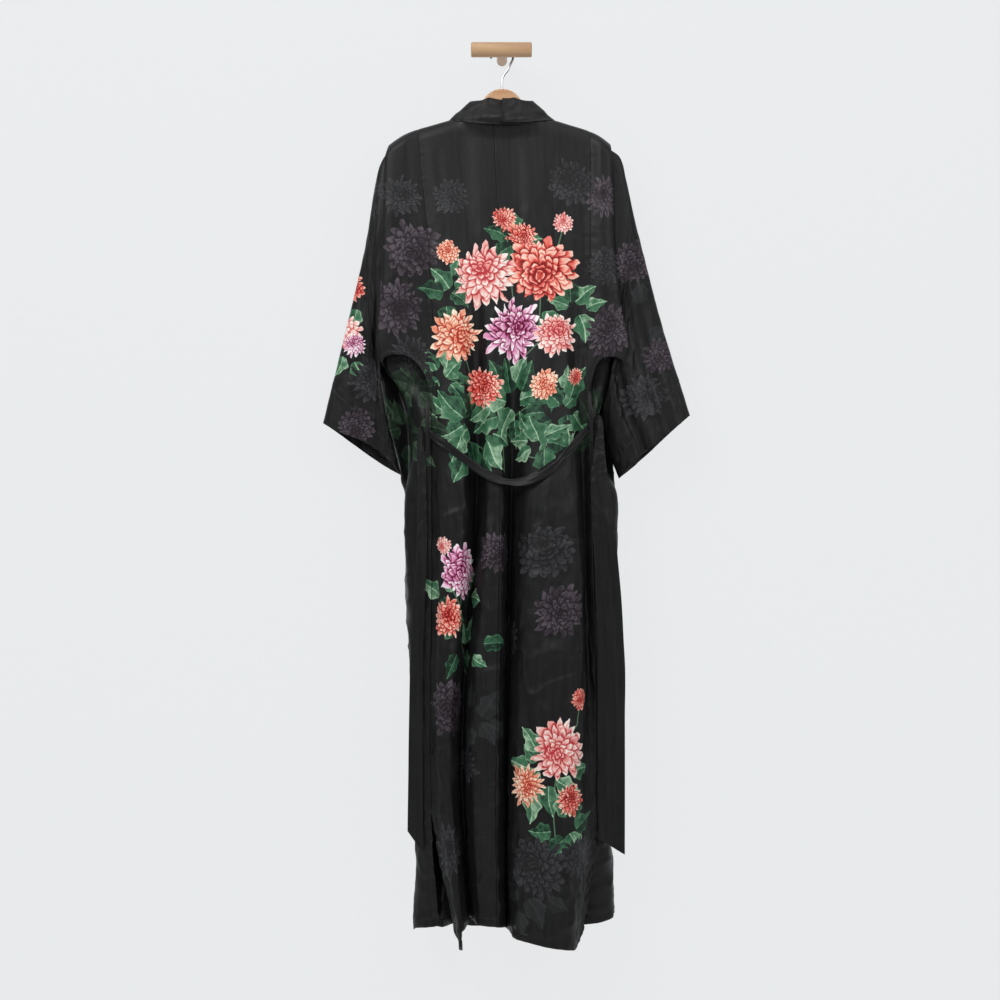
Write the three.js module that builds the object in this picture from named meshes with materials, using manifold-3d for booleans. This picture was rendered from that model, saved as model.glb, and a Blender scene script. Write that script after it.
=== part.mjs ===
// A long kimono robe on a wooden hanger, hung by its wire hook on a T-shaped wall peg.
// Millimetres, +Z up. The wall is the plane y = 0 and the robe hangs on its -Y side with its back
// to the room. The origin is the centre of the peg's face against the wall.
//
// All the body cloth lies on one surface: at each height a ring of folds runs from the left front
// edge, round the left side, across the back and round the right side to the right front edge.
// "f" counts along that ring in folds, so a seam or an edge is a value of f.
import * as THREE from 'three';
import { mergeVertices } from 'three/addons/utils/BufferGeometryUtils.js';
import Module from 'manifold-3d';

const CLOTH = 1.6; // wall of the cloth
const SEAM = 0.3; // each piece stops this far short of a seam
const HANGER_Y = -73; // middle plane of the hanger and ridge of the shoulders
const SHOULDER_ROLL = 24; // drop over which the cloth rolls off the ridge
const NECK_HALF = 90; // half the width of the neck opening
const HEM_Z = -1470;

// ---------------------------------------------------------------- sections of the body
// One row for each height. Seams are where the back panel ends; near is how far out the back's
// side stands and reach is the front's, with the hollow between them at tuck. nearY, tuckY, leftY
// and rightY are their depths. ridge and valley are the depths of the back's folds, inner and
// outer those of the front panels' folds, and open is the front edges' half distance.
const SECTIONS = [
  { name: 'neck', z: -118, leftSeam: -143, rightSeam: 150, leftNear: -192, rightNear: 184,
    leftReach: -192, rightReach: 184, leftTuck: -192, rightTuck: 184,
    nearY: -88, tuckY: -74, leftY: -60, rightY: -60, ridge: -89, valley: -88, inner: -60, outer: -58, open: 90 },
  { name: 'shoulder', z: -190, leftSeam: -139, rightSeam: 150, leftNear: -199, rightNear: 187,
    leftReach: -199, rightReach: 187, leftTuck: -199, rightTuck: 187,
    nearY: -93, tuckY: -75, leftY: -57, rightY: -57, ridge: -93, valley: -91, inner: -58, outer: -54, open: 76 },
  { name: 'chest', z: -340, leftSeam: -124, rightSeam: 150, leftNear: -204, rightNear: 190,
    leftReach: -203, rightReach: 188, leftTuck: -203, rightTuck: 188,
    nearY: -97, tuckY: -77, leftY: -57, rightY: -57, ridge: -102, valley: -97, inner: -57, outer: -42, open: 60 },
  { name: 'bust', z: -430, leftSeam: -119, rightSeam: 147, leftNear: -206, rightNear: 201,
    leftReach: -204, rightReach: 195, leftTuck: -204, rightTuck: 194,
    nearY: -98, tuckY: -78, leftY: -58, rightY: -58, ridge: -107, valley: -98, inner: -57, outer: -37, open: 58 },
  { name: 'underarm', z: -520, leftSeam: -115, rightSeam: 144, leftNear: -209, rightNear: 212,
    leftReach: -204, rightReach: 194, leftTuck: -200, rightTuck: 188,
    nearY: -99, tuckY: -78, leftY: -60, rightY: -49, ridge: -113, valley: -98, inner: -58, outer: -32, open: 58 },
  { name: 'armpit', z: -610, leftSeam: -119, rightSeam: 150, leftNear: -150, rightNear: 165,
    leftReach: -198, rightReach: 186, leftTuck: -166, rightTuck: 164,
    nearY: -95, tuckY: -46, leftY: -73, rightY: -42, ridge: -119, valley: -96, inner: -58, outer: -29, open: 58 },
  { name: 'belt', z: -690, leftSeam: -119, rightSeam: 152, leftNear: -151, rightNear: 168,
    leftReach: -177, rightReach: 189, leftTuck: -160, rightTuck: 168,
    nearY: -93, tuckY: -50, leftY: -72, rightY: -46, ridge: -126, valley: -93, inner: -58, outer: -28, open: 58 },
  { name: 'waist', z: -756, leftSeam: -119, rightSeam: 153, leftNear: -165, rightNear: 193,
    leftReach: -165, rightReach: 193, leftTuck: -163, rightTuck: 192,
    nearY: -91, tuckY: -70, leftY: -62, rightY: -60, ridge: -132, valley: -90, inner: -58, outer: -27, open: 58 },
  { name: 'hip', z: -900, leftSeam: -119, rightSeam: 156, leftNear: -162, rightNear: 193,
    leftReach: -162, rightReach: 193, leftTuck: -163, rightTuck: 194,
    nearY: -92, tuckY: -78, leftY: -64, rightY: -64, ridge: -139, valley: -88, inner: -58, outer: -24, open: 58 },
  { name: 'knee', z: -1110, leftSeam: -121, rightSeam: 160, leftNear: -152, rightNear: 189,
    leftReach: -152, rightReach: 189, leftTuck: -153, rightTuck: 190,
    nearY: -92, tuckY: -78, leftY: -64, rightY: -64, ridge: -144, valley: -88, inner: -58, outer: -21, open: 56 },
  { name: 'slit', z: -1340, leftSeam: -117, rightSeam: 159, leftNear: -144, rightNear: 184,
    leftReach: -144, rightReach: 184, leftTuck: -145, rightTuck: 185,
    nearY: -93, tuckY: -78, leftY: -64, rightY: -64, ridge: -148, valley: -89, inner: -58, outer: -19, open: 55 },
  { name: 'hem', z: -1470, leftSeam: -113, rightSeam: 157, leftNear: -152, rightNear: 187,
    leftReach: -152, rightReach: 187, leftTuck: -153, rightTuck: 188,
    nearY: -93, tuckY: -78, leftY: -64, rightY: -64, ridge: -150, valley: -90, inner: -58, outer: -18, open: 54 },
];

// The back panels' folds, left to right: their places between the two seams at four heights, and
// how far each rises from the valley depth (0) to the ridge depth (1), above and at the hem. drop
// is how far the hem hangs below its level there.
const BACK_FOLDS = [
  { name: 'left seam', top: 0.0, waist: 0.0, knee: 0.0, hem: 0.0, rise: 0.4, hemRise: 0.4, drop: 2 },
  { name: 'left ridge', top: 0.07, waist: 0.07, knee: 0.05, hem: 0.06, rise: 0.85, hemRise: 0.9, drop: 4 },
  { name: 'left crest', top: 0.17, waist: 0.2, knee: 0.105, hem: 0.14, rise: 1.0, hemRise: 1.0, drop: 3 },
  { name: 'left valley', top: 0.26, waist: 0.283, knee: 0.185, hem: 0.213, rise: 0.0, hemRise: 0.0, drop: 0 },
  { name: 'middle ridge', top: 0.34, waist: 0.352, knee: 0.262, hem: 0.285, rise: 0.9, hemRise: 0.9, drop: 4 },
  { name: 'middle crest', top: 0.44, waist: 0.425, knee: 0.395, hem: 0.39, rise: 0.95, hemRise: 0.95, drop: 7 },
  { name: 'right valley', top: 0.53, waist: 0.497, knee: 0.453, hem: 0.44, rise: 0.0, hemRise: 0.1, drop: 17 },
  { name: 'right ridge', top: 0.63, waist: 0.58, knee: 0.515, hem: 0.5, rise: 0.95, hemRise: 1.0, drop: 22 },
  { name: 'right crest', top: 0.82, waist: 0.885, knee: 0.9, hem: 0.9, rise: 1.0, hemRise: 0.95, drop: 38 },
  { name: 'side valley', top: 0.935, waist: 0.95, knee: 0.96, hem: 0.965, rise: 0.1, hemRise: 0.65, drop: 28 },
  { name: 'right seam', top: 1.0, waist: 1.0, knee: 1.0, hem: 1.0, rise: 0.4, hemRise: 0.45, drop: 6 },
];
// The same for the front panels, at the slit and from the reach on.
const FRONT_DROP = { left: { slit: 13, reach: 26 }, right: { slit: 12, reach: -12 } };

// A front panel's folds from its front edge outwards: share of the way to the side, and depth from
// the inner fold plane (0) to the outer one (1). Both panels have the same folds.
const FRONT_FOLDS = [
  { name: 'front edge', out: 0.0, depth: 0.45 },
  { name: 'inner pleat', out: 0.26, depth: 0.95 },
  { name: 'hollow', out: 0.5, depth: 0.1 },
  { name: 'outer pleat', out: 0.77, depth: 1.0 },
];

const CHEST_Z = -340;
const WAIST_Z = -740;
const KNEE_Z = -1190;
const SIDE_MID = 0.5; // the side's middle point, from the seam to the reach
const SIDE_BULGE = 6; // and how far it stands out past them

// Where the pieces meet on the ring.
const FRONT_EDGE_L = 0;
const FAR_REACH_L = FRONT_FOLDS.length;
const NEAR_REACH_L = FAR_REACH_L + 2;
const SEAM_L = NEAR_REACH_L + 2;
const CENTRE_SEAM = SEAM_L + BACK_FOLDS.findIndex((fold) => fold.name === 'middle crest');
const SEAM_R = SEAM_L + BACK_FOLDS.length - 1;
const NEAR_REACH_R = SEAM_R + 2;
const FAR_REACH_R = NEAR_REACH_R + 2;
const FRONT_EDGE_R = FAR_REACH_R + FRONT_FOLDS.length;

// Rows that every body panel shares, so that both sides of a seam have the same facets.
const ROLL_ROWS = [0, 0.14, 0.32, 0.62, 1];
const ROW_Z = [-230, -330, -430, -490, -545, -580, -610, -650, -690, -725, -756, -825, -910,
  -1000, -1100, -1200, -1285, -1350, -1415, HEM_Z];
const SLIT_Z = -1285;
const SIDE_JOIN_Z = -610; // from here down the front panels are sewn to the back panel
const ARCH_FROM_Z = -430; // above this the side back panels' rows are level

// The back's loose corners below the slits: how far the outline moves at the hem.
const CORNERS = {
  left: { inward: 44, forward: 16, down: 46, width: 2.1, power: 1.15 },
  right: { inward: 24, forward: 8, down: 16, width: 3.6, power: 1.8 },
};

// The front panels' edges there swing in behind the back.
const FRONT_CORNERS = { left: { inward: 8, back: 4 }, right: { inward: 34, back: 14 } };

// The side back panels' arched lower edges: the arch's top, where it is between the outer edge (0)
// and the seam (1), and how far it drops to either side.
const ARCHES = {
  left: { top: -518, peak: 0.35, outerDrop: 22, innerDrop: 92, power: 2.6 },
  right: { top: -522, peak: 0.42, outerDrop: 17, innerDrop: 88, power: 3.2 },
};

// ---------------------------------------------------------------- interpolation
const lerp = (a, b, t) => a + (b - a) * t;
const clamp = (t, low = 0, high = 1) => Math.min(high, Math.max(low, t));
const smooth = (t) => clamp(t) ** 2 * (3 - 2 * clamp(t));

// A value along a table sorted by falling z, on a cubic through its rows.
function along(rows, column, z) {
  const last = rows.length - 1;
  if (z >= rows[0].z) return rows[0][column];
  if (z <= rows[last].z) return rows[last][column];
  const i = rows.findIndex((row, k) => z <= row.z && z > rows[k + 1].z);
  const slope = (k) => {
    const a = rows[Math.max(0, k - 1)];
    const b = rows[Math.min(last, k + 1)];
    return (b[column] - a[column]) / (b.z - a.z);
  };
  const h = rows[i + 1].z - rows[i].z;
  return hermite(rows[i][column], rows[i + 1][column], slope(i) * h, slope(i + 1) * h,
    (z - rows[i].z) / h);
}

function hermite(a, b, slopeA, slopeB, t) {
  const t2 = t * t;
  const t3 = t2 * t;
  return (2 * t3 - 3 * t2 + 1) * a + (t3 - 2 * t2 + t) * slopeA
    + (3 * t2 - 2 * t3) * b + (t3 - t2) * slopeB;
}

// A point on the smooth curve through points, at t counted in points. Slopes go by chord length.
function curveThrough(points, t) {
  const i = Math.min(points.length - 2, Math.floor(clamp(t, 0, points.length - 1)));
  const chord = (k) => points[k].distanceTo(points[k + 1]);
  const slope = (k, axis) => {
    if (k === 0) return (points[1][axis] - points[0][axis]) / chord(0);
    if (k === points.length - 1) return (points[k][axis] - points[k - 1][axis]) / chord(k - 1);
    const before = chord(k - 1);
    const after = chord(k);
    return ((points[k + 1][axis] - points[k][axis]) * before / after
      + (points[k][axis] - points[k - 1][axis]) * after / before) / (before + after);
  };
  const h = chord(i);
  const at = (axis) => hermite(points[i][axis], points[i + 1][axis],
    slope(i, axis) * h, slope(i + 1, axis) * h, t - i);
  return new THREE.Vector2(at('x'), at('y'));
}

// ---------------------------------------------------------------- the ring of folds
function backFold(fold, z) {
  const place = [
    { z: CHEST_Z, at: fold.top },
    { z: WAIST_Z, at: fold.waist },
    { z: KNEE_Z, at: fold.knee },
    { z: HEM_Z, at: fold.hem },
  ];
  const rise = lerp(fold.rise, fold.hemRise, smooth((WAIST_Z - z) / (WAIST_Z - HEM_Z)));
  return new THREE.Vector2(
    lerp(along(SECTIONS, 'leftSeam', z), along(SECTIONS, 'rightSeam', z), along(place, 'at', z)),
    lerp(along(SECTIONS, 'valley', z), along(SECTIONS, 'ridge', z), rise));
}

function frontFold(fold, side, z) {
  const reach = along(SECTIONS, side < 0 ? 'leftReach' : 'rightReach', z);
  return new THREE.Vector2(
    lerp(side * along(SECTIONS, 'open', z), reach, fold.out),
    lerp(along(SECTIONS, 'inner', z), along(SECTIONS, 'outer', z), fold.depth));
}

// The front's reach, the tuck, the back's reach and the middle of the side, in that order.
function sideFolds(side, seam, z) {
  const at = (column) => along(SECTIONS, (side < 0 ? 'left' : 'right') + column, z);
  const near = new THREE.Vector2(at('Near'), along(SECTIONS, 'nearY', z));
  return [
    new THREE.Vector2(at('Reach'), at('Y')),
    new THREE.Vector2(at('Tuck'), along(SECTIONS, 'tuckY', z)),
    near,
    new THREE.Vector2(lerp(seam.x, near.x, SIDE_MID), lerp(seam.y, near.y, SIDE_MID) - SIDE_BULGE),
  ];
}

const ringCache = new Map();
function foldsAt(z) {
  if (!ringCache.has(z)) {
    const back = BACK_FOLDS.map((fold) => backFold(fold, z));
    const left = sideFolds(-1, back[0], z);
    const right = sideFolds(1, back[back.length - 1], z);
    ringCache.set(z, [
      ...FRONT_FOLDS.map((fold) => frontFold(fold, -1, z)), ...left,
      ...back,
      ...right.reverse(), ...FRONT_FOLDS.map((fold) => frontFold(fold, 1, z)).reverse(),
    ]);
  }
  return ringCache.get(z);
}

const ring = (f, z) => curveThrough(foldsAt(z), f);

// f moved along the ring by a distance, at height z.
function shifted(f, distance, z) {
  const step = 0.02 * Math.sign(distance);
  return f + step * Math.abs(distance) / ring(f + step, z).distanceTo(ring(f, z));
}

// ---------------------------------------------------------------- shoulders and neckline
// Height of the shoulder ridge: nearly straight from the neck, then rounding over the hanger's end.
const SHOULDER_LINE = [
  { z: 200, height: -168 }, { z: 192, height: -160 }, { z: 170, height: -144.5 },
  { z: 150, height: -135.5 }, { z: 116, height: -125.5 }, { z: NECK_HALF, height: -118 },
];
const RIGHT_SHOULDER = 0.94; // the right shoulder is this much narrower
const shoulderZ = (x) => along(SHOULDER_LINE, 'height',
  Math.abs(x) < NECK_HALF ? NECK_HALF
    : NECK_HALF + (Math.abs(x) - NECK_HALF) / (x > 0 ? RIGHT_SHOULDER : 1));

const NECK_DIP = 11; // drop of the neckline at the centre back
const NECK_BACK = 32; // and how far it stands out from the ridge
const isBackSide = (f) => f >= NEAR_REACH_L && f <= NEAR_REACH_R;

// The upper edge of the cloth at f: on the ridge, or on the neckline across the centre back.
function topEdge(f) {
  const x = ring(f, SECTIONS[0].z).x;
  if (!isBackSide(f)) return new THREE.Vector3(x, HANGER_Y + SEAM, shoulderZ(x));
  const round = Math.cos(Math.PI / 2 * clamp(Math.abs(x) / NECK_HALF));
  return new THREE.Vector3(x, HANGER_Y - SEAM - NECK_BACK * round ** 0.8,
    shoulderZ(x) - NECK_DIP * round);
}

// ---------------------------------------------------------------- points on the body cloth
function cornerShift(f, z) {
  if (z > SLIT_Z) return new THREE.Vector3();
  const { left, right } = CORNERS;
  const fall = (SLIT_Z - z) / (SLIT_Z - HEM_Z);
  if (f < SEAM_L || f > SEAM_R) {
    const side = f < SEAM_L ? -1 : 1;
    const { inward, back } = side < 0 ? FRONT_CORNERS.left : FRONT_CORNERS.right;
    const near = smooth(1 - Math.abs(f - (side < 0 ? SEAM_L : SEAM_R)) / 2) * fall ** 1.6;
    return new THREE.Vector3(-side * inward * near, back * near, 0);
  }
  const nearLeft = smooth(1 - (f - SEAM_L) / left.width) * fall ** left.power;
  const nearRight = smooth(1 - (SEAM_R - f) / right.width) * fall ** right.power;
  return new THREE.Vector3(left.inward * nearLeft - right.inward * nearRight,
    -left.forward * nearLeft - right.forward * nearRight,
    -left.down * nearLeft - right.down * nearRight);
}

const DROPS = BACK_FOLDS.map((fold, k) => ({ z: -k, drop: fold.drop }));

function hemDrop(f, z) {
  const share = smooth((-1000 - z) / (-1000 - HEM_Z));
  if (f < SEAM_L || f > SEAM_R) {
    const { slit, reach } = f < SEAM_L ? FRONT_DROP.left : FRONT_DROP.right;
    const away = f < SEAM_L ? SEAM_L - f : f - SEAM_R;
    return share * lerp(slit, reach, smooth(away / (FAR_REACH_R - SEAM_R)));
  }
  return share * (along(DROPS, 'drop', SEAM_L - f));
}

function hung(f, z) {
  const at = ring(f, z);
  return new THREE.Vector3(at.x, at.y, z - hemDrop(f, z)).add(cornerShift(f, z));
}

// Rolling off the ridge: share 0 is the upper edge and 1 is where the cloth hangs freely.
function rolled(f, share) {
  const top = topEdge(f);
  const low = ring(f, top.z - SHOULDER_ROLL);
  const angle = share * Math.PI / 2;
  return new THREE.Vector3(lerp(top.x, low.x, 1 - Math.cos(angle)),
    lerp(top.y, low.y, Math.sin(angle)), top.z - SHOULDER_ROLL * (1 - Math.cos(angle)));
}

// Row k of the body: the first rows roll off the ridge and the others are level.
function bodyRow(f, row) {
  const k = Math.floor(row);
  if (row <= ROLL_ROWS.length - 1) {
    const next = ROLL_ROWS[Math.min(k + 1, ROLL_ROWS.length - 1)];
    return rolled(f, lerp(ROLL_ROWS[k], next, row - k));
  }
  const heights = [topEdge(f).z - SHOULDER_ROLL, ...ROW_Z];
  const m = k - (ROLL_ROWS.length - 1);
  return hung(f, lerp(heights[m], heights[Math.min(m + 1, heights.length - 1)], row - k));
}
const LAST_ROW = ROLL_ROWS.length - 1 + ROW_Z.length;
const rowOf = (z) => ROLL_ROWS.length + ROW_Z.indexOf(z);

// ---------------------------------------------------------------- walls of cloth
// A closed wall on both sides of the surface point(u, v), with us and vs the values at its facets.
// A tube closes on itself along u. has(i, j) says which cells of the grid the piece covers.
function wall(point, us, vs, { tube = false, thickness = CLOTH, has = () => true } = {}) {
  const columns = us.length;
  const count = columns * vs.length;
  const step = 1e-3;
  const sides = [[], []];
  for (const v of vs) {
    for (const u of us) {
      const at = point(u, v);
      const inU = u + step <= us[columns - 1] || tube ? 1 : -1;
      const inV = v + step <= vs[vs.length - 1] ? 1 : -1;
      const alongU = point(u + step * inU, v).sub(at).multiplyScalar(inU);
      const alongV = point(u, v + step * inV).sub(at).multiplyScalar(inV);
      const out = alongU.cross(alongV).normalize().multiplyScalar(thickness / 2);
      sides[0].push(at.clone().add(out));
      sides[1].push(at.clone().sub(out));
    }
  }
  const index = [];
  const quad = (a, b, c, d) => index.push(a, b, c, a, c, d);
  const edges = new Map();
  for (let j = 0; j < vs.length - 1; j += 1) {
    for (let i = 0; i < (tube ? columns : columns - 1); i += 1) {
      if (!has(i, j)) continue;
      const [a, b] = [j * columns + i, j * columns + (i + 1) % columns];
      const corners = [a, b, b + columns, a + columns];
      quad(...corners);
      quad(...corners.map((k) => count + k).reverse());
      corners.forEach((k, n) => edges.set(`${k} ${corners[(n + 1) % 4]}`, [k, corners[(n + 1) % 4]]));
    }
  }
  for (const [a, b] of edges.values()) {
    if (!edges.has(`${b} ${a}`)) quad(b, a, count + a, count + b);
  }
  const geometry = new THREE.BufferGeometry();
  const positions = sides.flat().flatMap((p) => p.toArray());
  geometry.setAttribute('position', new THREE.Float32BufferAttribute(positions, 3));
  geometry.setIndex(index);
  return geometry;
}

const spread = (from, to, parts) => Array.from({ length: parts + 1 },
  (_, k) => lerp(from, to, k / parts));

// ---------------------------------------------------------------- body panels
// The back is two panels, sewn together down the middle of the back.
function backPanel(side) {
  const [from, to] = side < 0 ? [SEAM_L, CENTRE_SEAM] : [CENTRE_SEAM, SEAM_R];
  const point = (u, row) => {
    const z = bodyRow(from, row).z;
    return bodyRow(lerp(shifted(from, SEAM, z), shifted(to, -SEAM, z), u), row);
  };
  const columnsPerFold = 3;
  const us = spread(0, 1, (to - from) * columnsPerFold);
  return wall(point, us, spread(0, LAST_ROW, LAST_ROW));
}

// A front panel runs from its front edge to the armhole. Below the underarm it turns round the
// side to the seam, and its upper corner there is tucked in behind the side back panel.
const TUCKED_IN = 26;
const SEAM_TRIM = 0.03; // in folds
const TUCK_TOP_Z = -490;
const TUCK_END_Z = -625;

function frontPanel(side) {
  const point = (u, row) => {
    const f = side < 0 ? u : FRONT_EDGE_R - u;
    const at = bodyRow(f, row);
    if (row < rowOf(TUCK_TOP_Z) || u <= FAR_REACH_L || at.z < TUCK_END_Z) return at;
    const share = smooth(u - FAR_REACH_L);
    const limit = Math.abs(ring(side < 0 ? FAR_REACH_L : FAR_REACH_R, at.z).x) - 8 * share;
    at.x = side * Math.min(side * at.x, limit);
    at.y += TUCKED_IN * share * smooth((at.z - TUCK_END_Z) / 60);
    return at;
  };
  const inner = spread(FRONT_EDGE_L, FAR_REACH_L, 10);
  const outer = spread(FAR_REACH_L, SEAM_L, 8).slice(1);
  outer[outer.length - 1] -= SEAM_TRIM;
  const us = [...inner, ...outer];
  const turned = (u, row) => point(side < 0 ? u : SEAM_L - SEAM_TRIM - u, row);
  const all = side < 0 ? us : us.map((u) => SEAM_L - SEAM_TRIM - u).reverse();
  const has = (i, j) => j >= rowOf(TUCK_TOP_Z)
    || (side < 0 ? i < inner.length - 1 : i >= outer.length);
  return wall(turned, all, spread(0, LAST_ROW, LAST_ROW), { has });
}

function archZ(arch, w) {
  if (w < arch.peak) return arch.top - arch.outerDrop * (1 - w / arch.peak) ** 2;
  return arch.top - arch.innerDrop * ((w - arch.peak) / (1 - arch.peak)) ** arch.power;
}

// A side back panel, from the armhole edge to the seam, down to its arched edge. Its last two rows
// close on the arch, and at the seam they meet the back panel's rows.
function sideBack(side) {
  const [reach, seam, arch] = side < 0 ? [NEAR_REACH_L, SEAM_L, ARCHES.left]
    : [NEAR_REACH_R, SEAM_R, ARCHES.right];
  const levelRow = rowOf(ARCH_FROM_Z);
  const point = (u, row) => {
    const w = side < 0 ? u : 1 - u;
    const z = bodyRow(seam, row).z;
    const f = lerp(reach, shifted(seam, side * SEAM, z), w);
    if (row <= levelRow) return bodyRow(f, row);
    const share = (ARCH_FROM_Z - z) / (ARCH_FROM_Z - SIDE_JOIN_Z);
    return hung(f, lerp(ARCH_FROM_Z, archZ(arch, w), share));
  };
  const rows = rowOf(SIDE_JOIN_Z);
  return wall(point, spread(0, 1, 8), spread(0, rows, rows));
}

// ---------------------------------------------------------------- sleeves
// Stations from the armhole to the cuff: the upper edge, the lower edge, the depths of the two
// faces, and how far the lower edge is set back. A sleeve is a flattened tube that hangs from the upper edge.
const SLEEVES = {
  left: [
    { z: 0, topX: -184, topZ: -167, underX: -199, underZ: -512, near: -91, far: -66, back: 0 },
    { z: -0.05, topX: -201, topZ: -182, underX: -203, underZ: -520, near: -92, far: -62, back: 0 },
    { z: -0.14, topX: -213, topZ: -216, underX: -212, underZ: -540, near: -93, far: -56, back: 4 },
    { z: -0.4, topX: -234, topZ: -338, underX: -202, underZ: -598, near: -94, far: -42, back: 17 },
    { z: -0.7, topX: -265, topZ: -470, underX: -187, underZ: -658, near: -92, far: -38, back: 17 },
    { z: -1, topX: -305, topZ: -633, underX: -172, underZ: -722, near: -90, far: -36, back: 15 },
  ],
  right: [
    { z: 0, topX: 180, topZ: -166, underX: 198, underZ: -512, near: -91, far: -66, back: 0 },
    { z: -0.05, topX: 200, topZ: -181, underX: 206, underZ: -522, near: -92, far: -64, back: 0 },
    { z: -0.14, topX: 210, topZ: -216, underX: 212, underZ: -538, near: -93, far: -63, back: 0 },
    { z: -0.27, topX: 223, topZ: -276, underX: 189, underZ: -573, near: -95, far: -60, back: -3 },
    { z: -0.4, topX: 239, topZ: -338, underX: 173, underZ: -602, near: -95, far: -46, back: -4 },
    { z: -0.7, topX: 273, topZ: -468, underX: 177, underZ: -664, near: -96, far: -42, back: -4 },
    { z: -1, topX: 320, topZ: -620, underX: 200, underZ: -727, near: -98, far: -38, back: 0 },
  ],
};
const SLEEVE_PLEATS = { left: { count: 1.5, depth: 5 }, right: { count: 3, depth: 9 } };
// How far each face's edge bows up at the cuff, so that the opening shows.
const SLEEVE_BOWS = { left: { near: 17, far: -4 }, right: { near: 7, far: -3 } };
const CUFF_START = 0.89; // where the cuff band is sewn on
const CUFF_GAP = 0.0025;

// a runs round the tube: 0 is the upper edge, 0 to 0.5 the face near the room, 0.5 the lower edge.
function sleevePoint(name, a, s) {
  const stations = SLEEVES[name];
  const at = (column) => along(stations, column, -s);
  const near = a <= 0.5;
  const w = 0.5 - 0.5 * Math.cos(2 * Math.PI * a);
  const bulge = Math.abs(Math.sin(2 * Math.PI * a)) ** 0.55;
  const middle = (at('near') + at('far')) / 2;
  const half = (at('far') - at('near')) / 2;
  const { count, depth } = SLEEVE_PLEATS[name];
  const pleat = depth * smooth(s / 0.5) * bulge * Math.cos(2 * Math.PI * count * w);
  const bow = SLEEVE_BOWS[name][near ? 'near' : 'far'] * smooth((s - 0.6) / 0.4) * 6.75 * w * w * (1 - w);
  return new THREE.Vector3(lerp(at('topX'), at('underX'), w),
    middle + (near ? -1 : 1) * bulge * (half - depth * smooth(s / 0.5) / 2) + pleat / 2
      + at('back') * w,
    lerp(at('topZ'), at('underZ'), w) + bow);
}

const TUBE_COLUMNS = 18;
function sleeveWall(name, from, to, parts) {
  const turn = name === 'left' ? 1 : -1;
  const point = (a, s) => sleevePoint(name, ((turn * a) % 1 + 1) % 1, s);
  return wall(point, spread(0, 1, TUBE_COLUMNS).slice(0, -1), spread(from, to, parts),
    { tube: true });
}

// ---------------------------------------------------------------- neckband
// Half of the band, from the centre back seam round the neck and down the front edge. It follows
// the edges of the panels, and its width turns from upright at the back to level at the front.
const BAND_WIDTH = 50;
const BAND_THICKNESS = 2.4; // folded double
const BAND_GAP = { back: 1.5, front: 0.8 };
const BAND_UP_BACK = new THREE.Vector3(0, 0.42, 0.9);
const BAND_UP_SIDE = new THREE.Vector3(0.75, 0, 0.66);
const BAND_ACROSS = new THREE.Vector3(1, 0, 0);
const BAND_BACK_PARTS = 8;
const BAND_TURN_ROWS = 6; // rows over which the band turns level on the front

function neckHalf(side) {
  const edge = side < 0 ? FRONT_EDGE_L : FRONT_EDGE_R;
  const seat = (q) => {
    if (q >= 1) return bodyRow(edge, (q - 1) * LAST_ROW);
    const x = side * lerp(SEAM, NECK_HALF, q);
    let [low, high] = [SEAM_L, SEAM_R];
    for (let k = 0; k < 40; k += 1) {
      const mid = (low + high) / 2;
      if (ring(mid, SECTIONS[0].z).x < x) low = mid;
      else high = mid;
    }
    return topEdge((low + high) / 2);
  };
  const across = (q) => {
    const turn = (q - 1) * LAST_ROW / BAND_TURN_ROWS;
    const way = q < 1 ? BAND_UP_BACK.clone().lerp(BAND_UP_SIDE, smooth(q))
      : BAND_UP_SIDE.clone().lerp(BAND_ACROSS, smooth(turn));
    way.normalize();
    way.x *= -side;
    return way;
  };
  const point = (q, w) => seat(q).addScaledVector(across(q),
    lerp(BAND_GAP.back, BAND_GAP.front, smooth(8 * q - 7)) + w * BAND_WIDTH);
  const qs = [...spread(0, 1, BAND_BACK_PARTS).slice(0, -1), ...spread(1, 2, LAST_ROW)];
  return wall(point, qs, [0, 1], { thickness: BAND_THICKNESS });
}

// ---------------------------------------------------------------- belt and loops
// The belt lies folded lengthwise, outside the folds that it crosses. Rows run along a stretch:
// middle of the belt, its width there, and its roll about its own length, 0 upright and 90 flat.
const BELT_THICKNESS = 2.2;
const BELT_CLEAR = 0.8;
const BELT_BACK = [
  { x: -128.6, z: -648, width: 12, roll: 0, span: 6 },
  { x: -100, z: -668, width: 18, roll: 0, span: 24 },
  { x: -60, z: -697, width: 18, roll: 0, span: 30 },
  { x: -20, z: -724, width: 16, roll: 20, span: 30 },
  { x: 16, z: -734, width: 14, roll: 35, span: 30 },
  { x: 50, z: -728, width: 19, roll: 15, span: 30 },
  { x: 90, z: -704, width: 23, roll: 0, span: 30 },
  { x: 122, z: -670, width: 21, roll: 0, span: 24 },
  { x: 154.6, z: -631, width: 12, roll: 0, span: 6 },
];
const BELT_TAIL_LEFT = [
  { x: -137, z: -639, width: 14, slant: 0, off: 0 },
  { x: -135, z: -740, width: 15, slant: 0, off: 2 },
  { x: -136, z: -860, width: 18, slant: 0, off: 4 },
  { x: -143, z: -1000, width: 22, slant: 0, off: 5 },
  { x: -145, z: -1180, width: 25, slant: 0, off: 6 },
  { x: -146, z: -1339, width: 27, slant: 36, off: 7 },
];
const BELT_TAIL_RIGHT = [
  { x: 163, z: -621, width: 14, slant: 0, off: 0 },
  { x: 164, z: -672, width: 17, slant: 0, off: 1 },
  { x: 165, z: -740, width: 31, slant: 0, off: 2 },
  { x: 175, z: -860, width: 40, slant: 0, off: 4 },
  { x: 183, z: -1000, width: 45, slant: 0, off: 5 },
  { x: 184, z: -1180, width: 47, slant: 0, off: 6 },
  { x: 184, z: -1346, width: 46, slant: 27, off: 7 },
];

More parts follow.
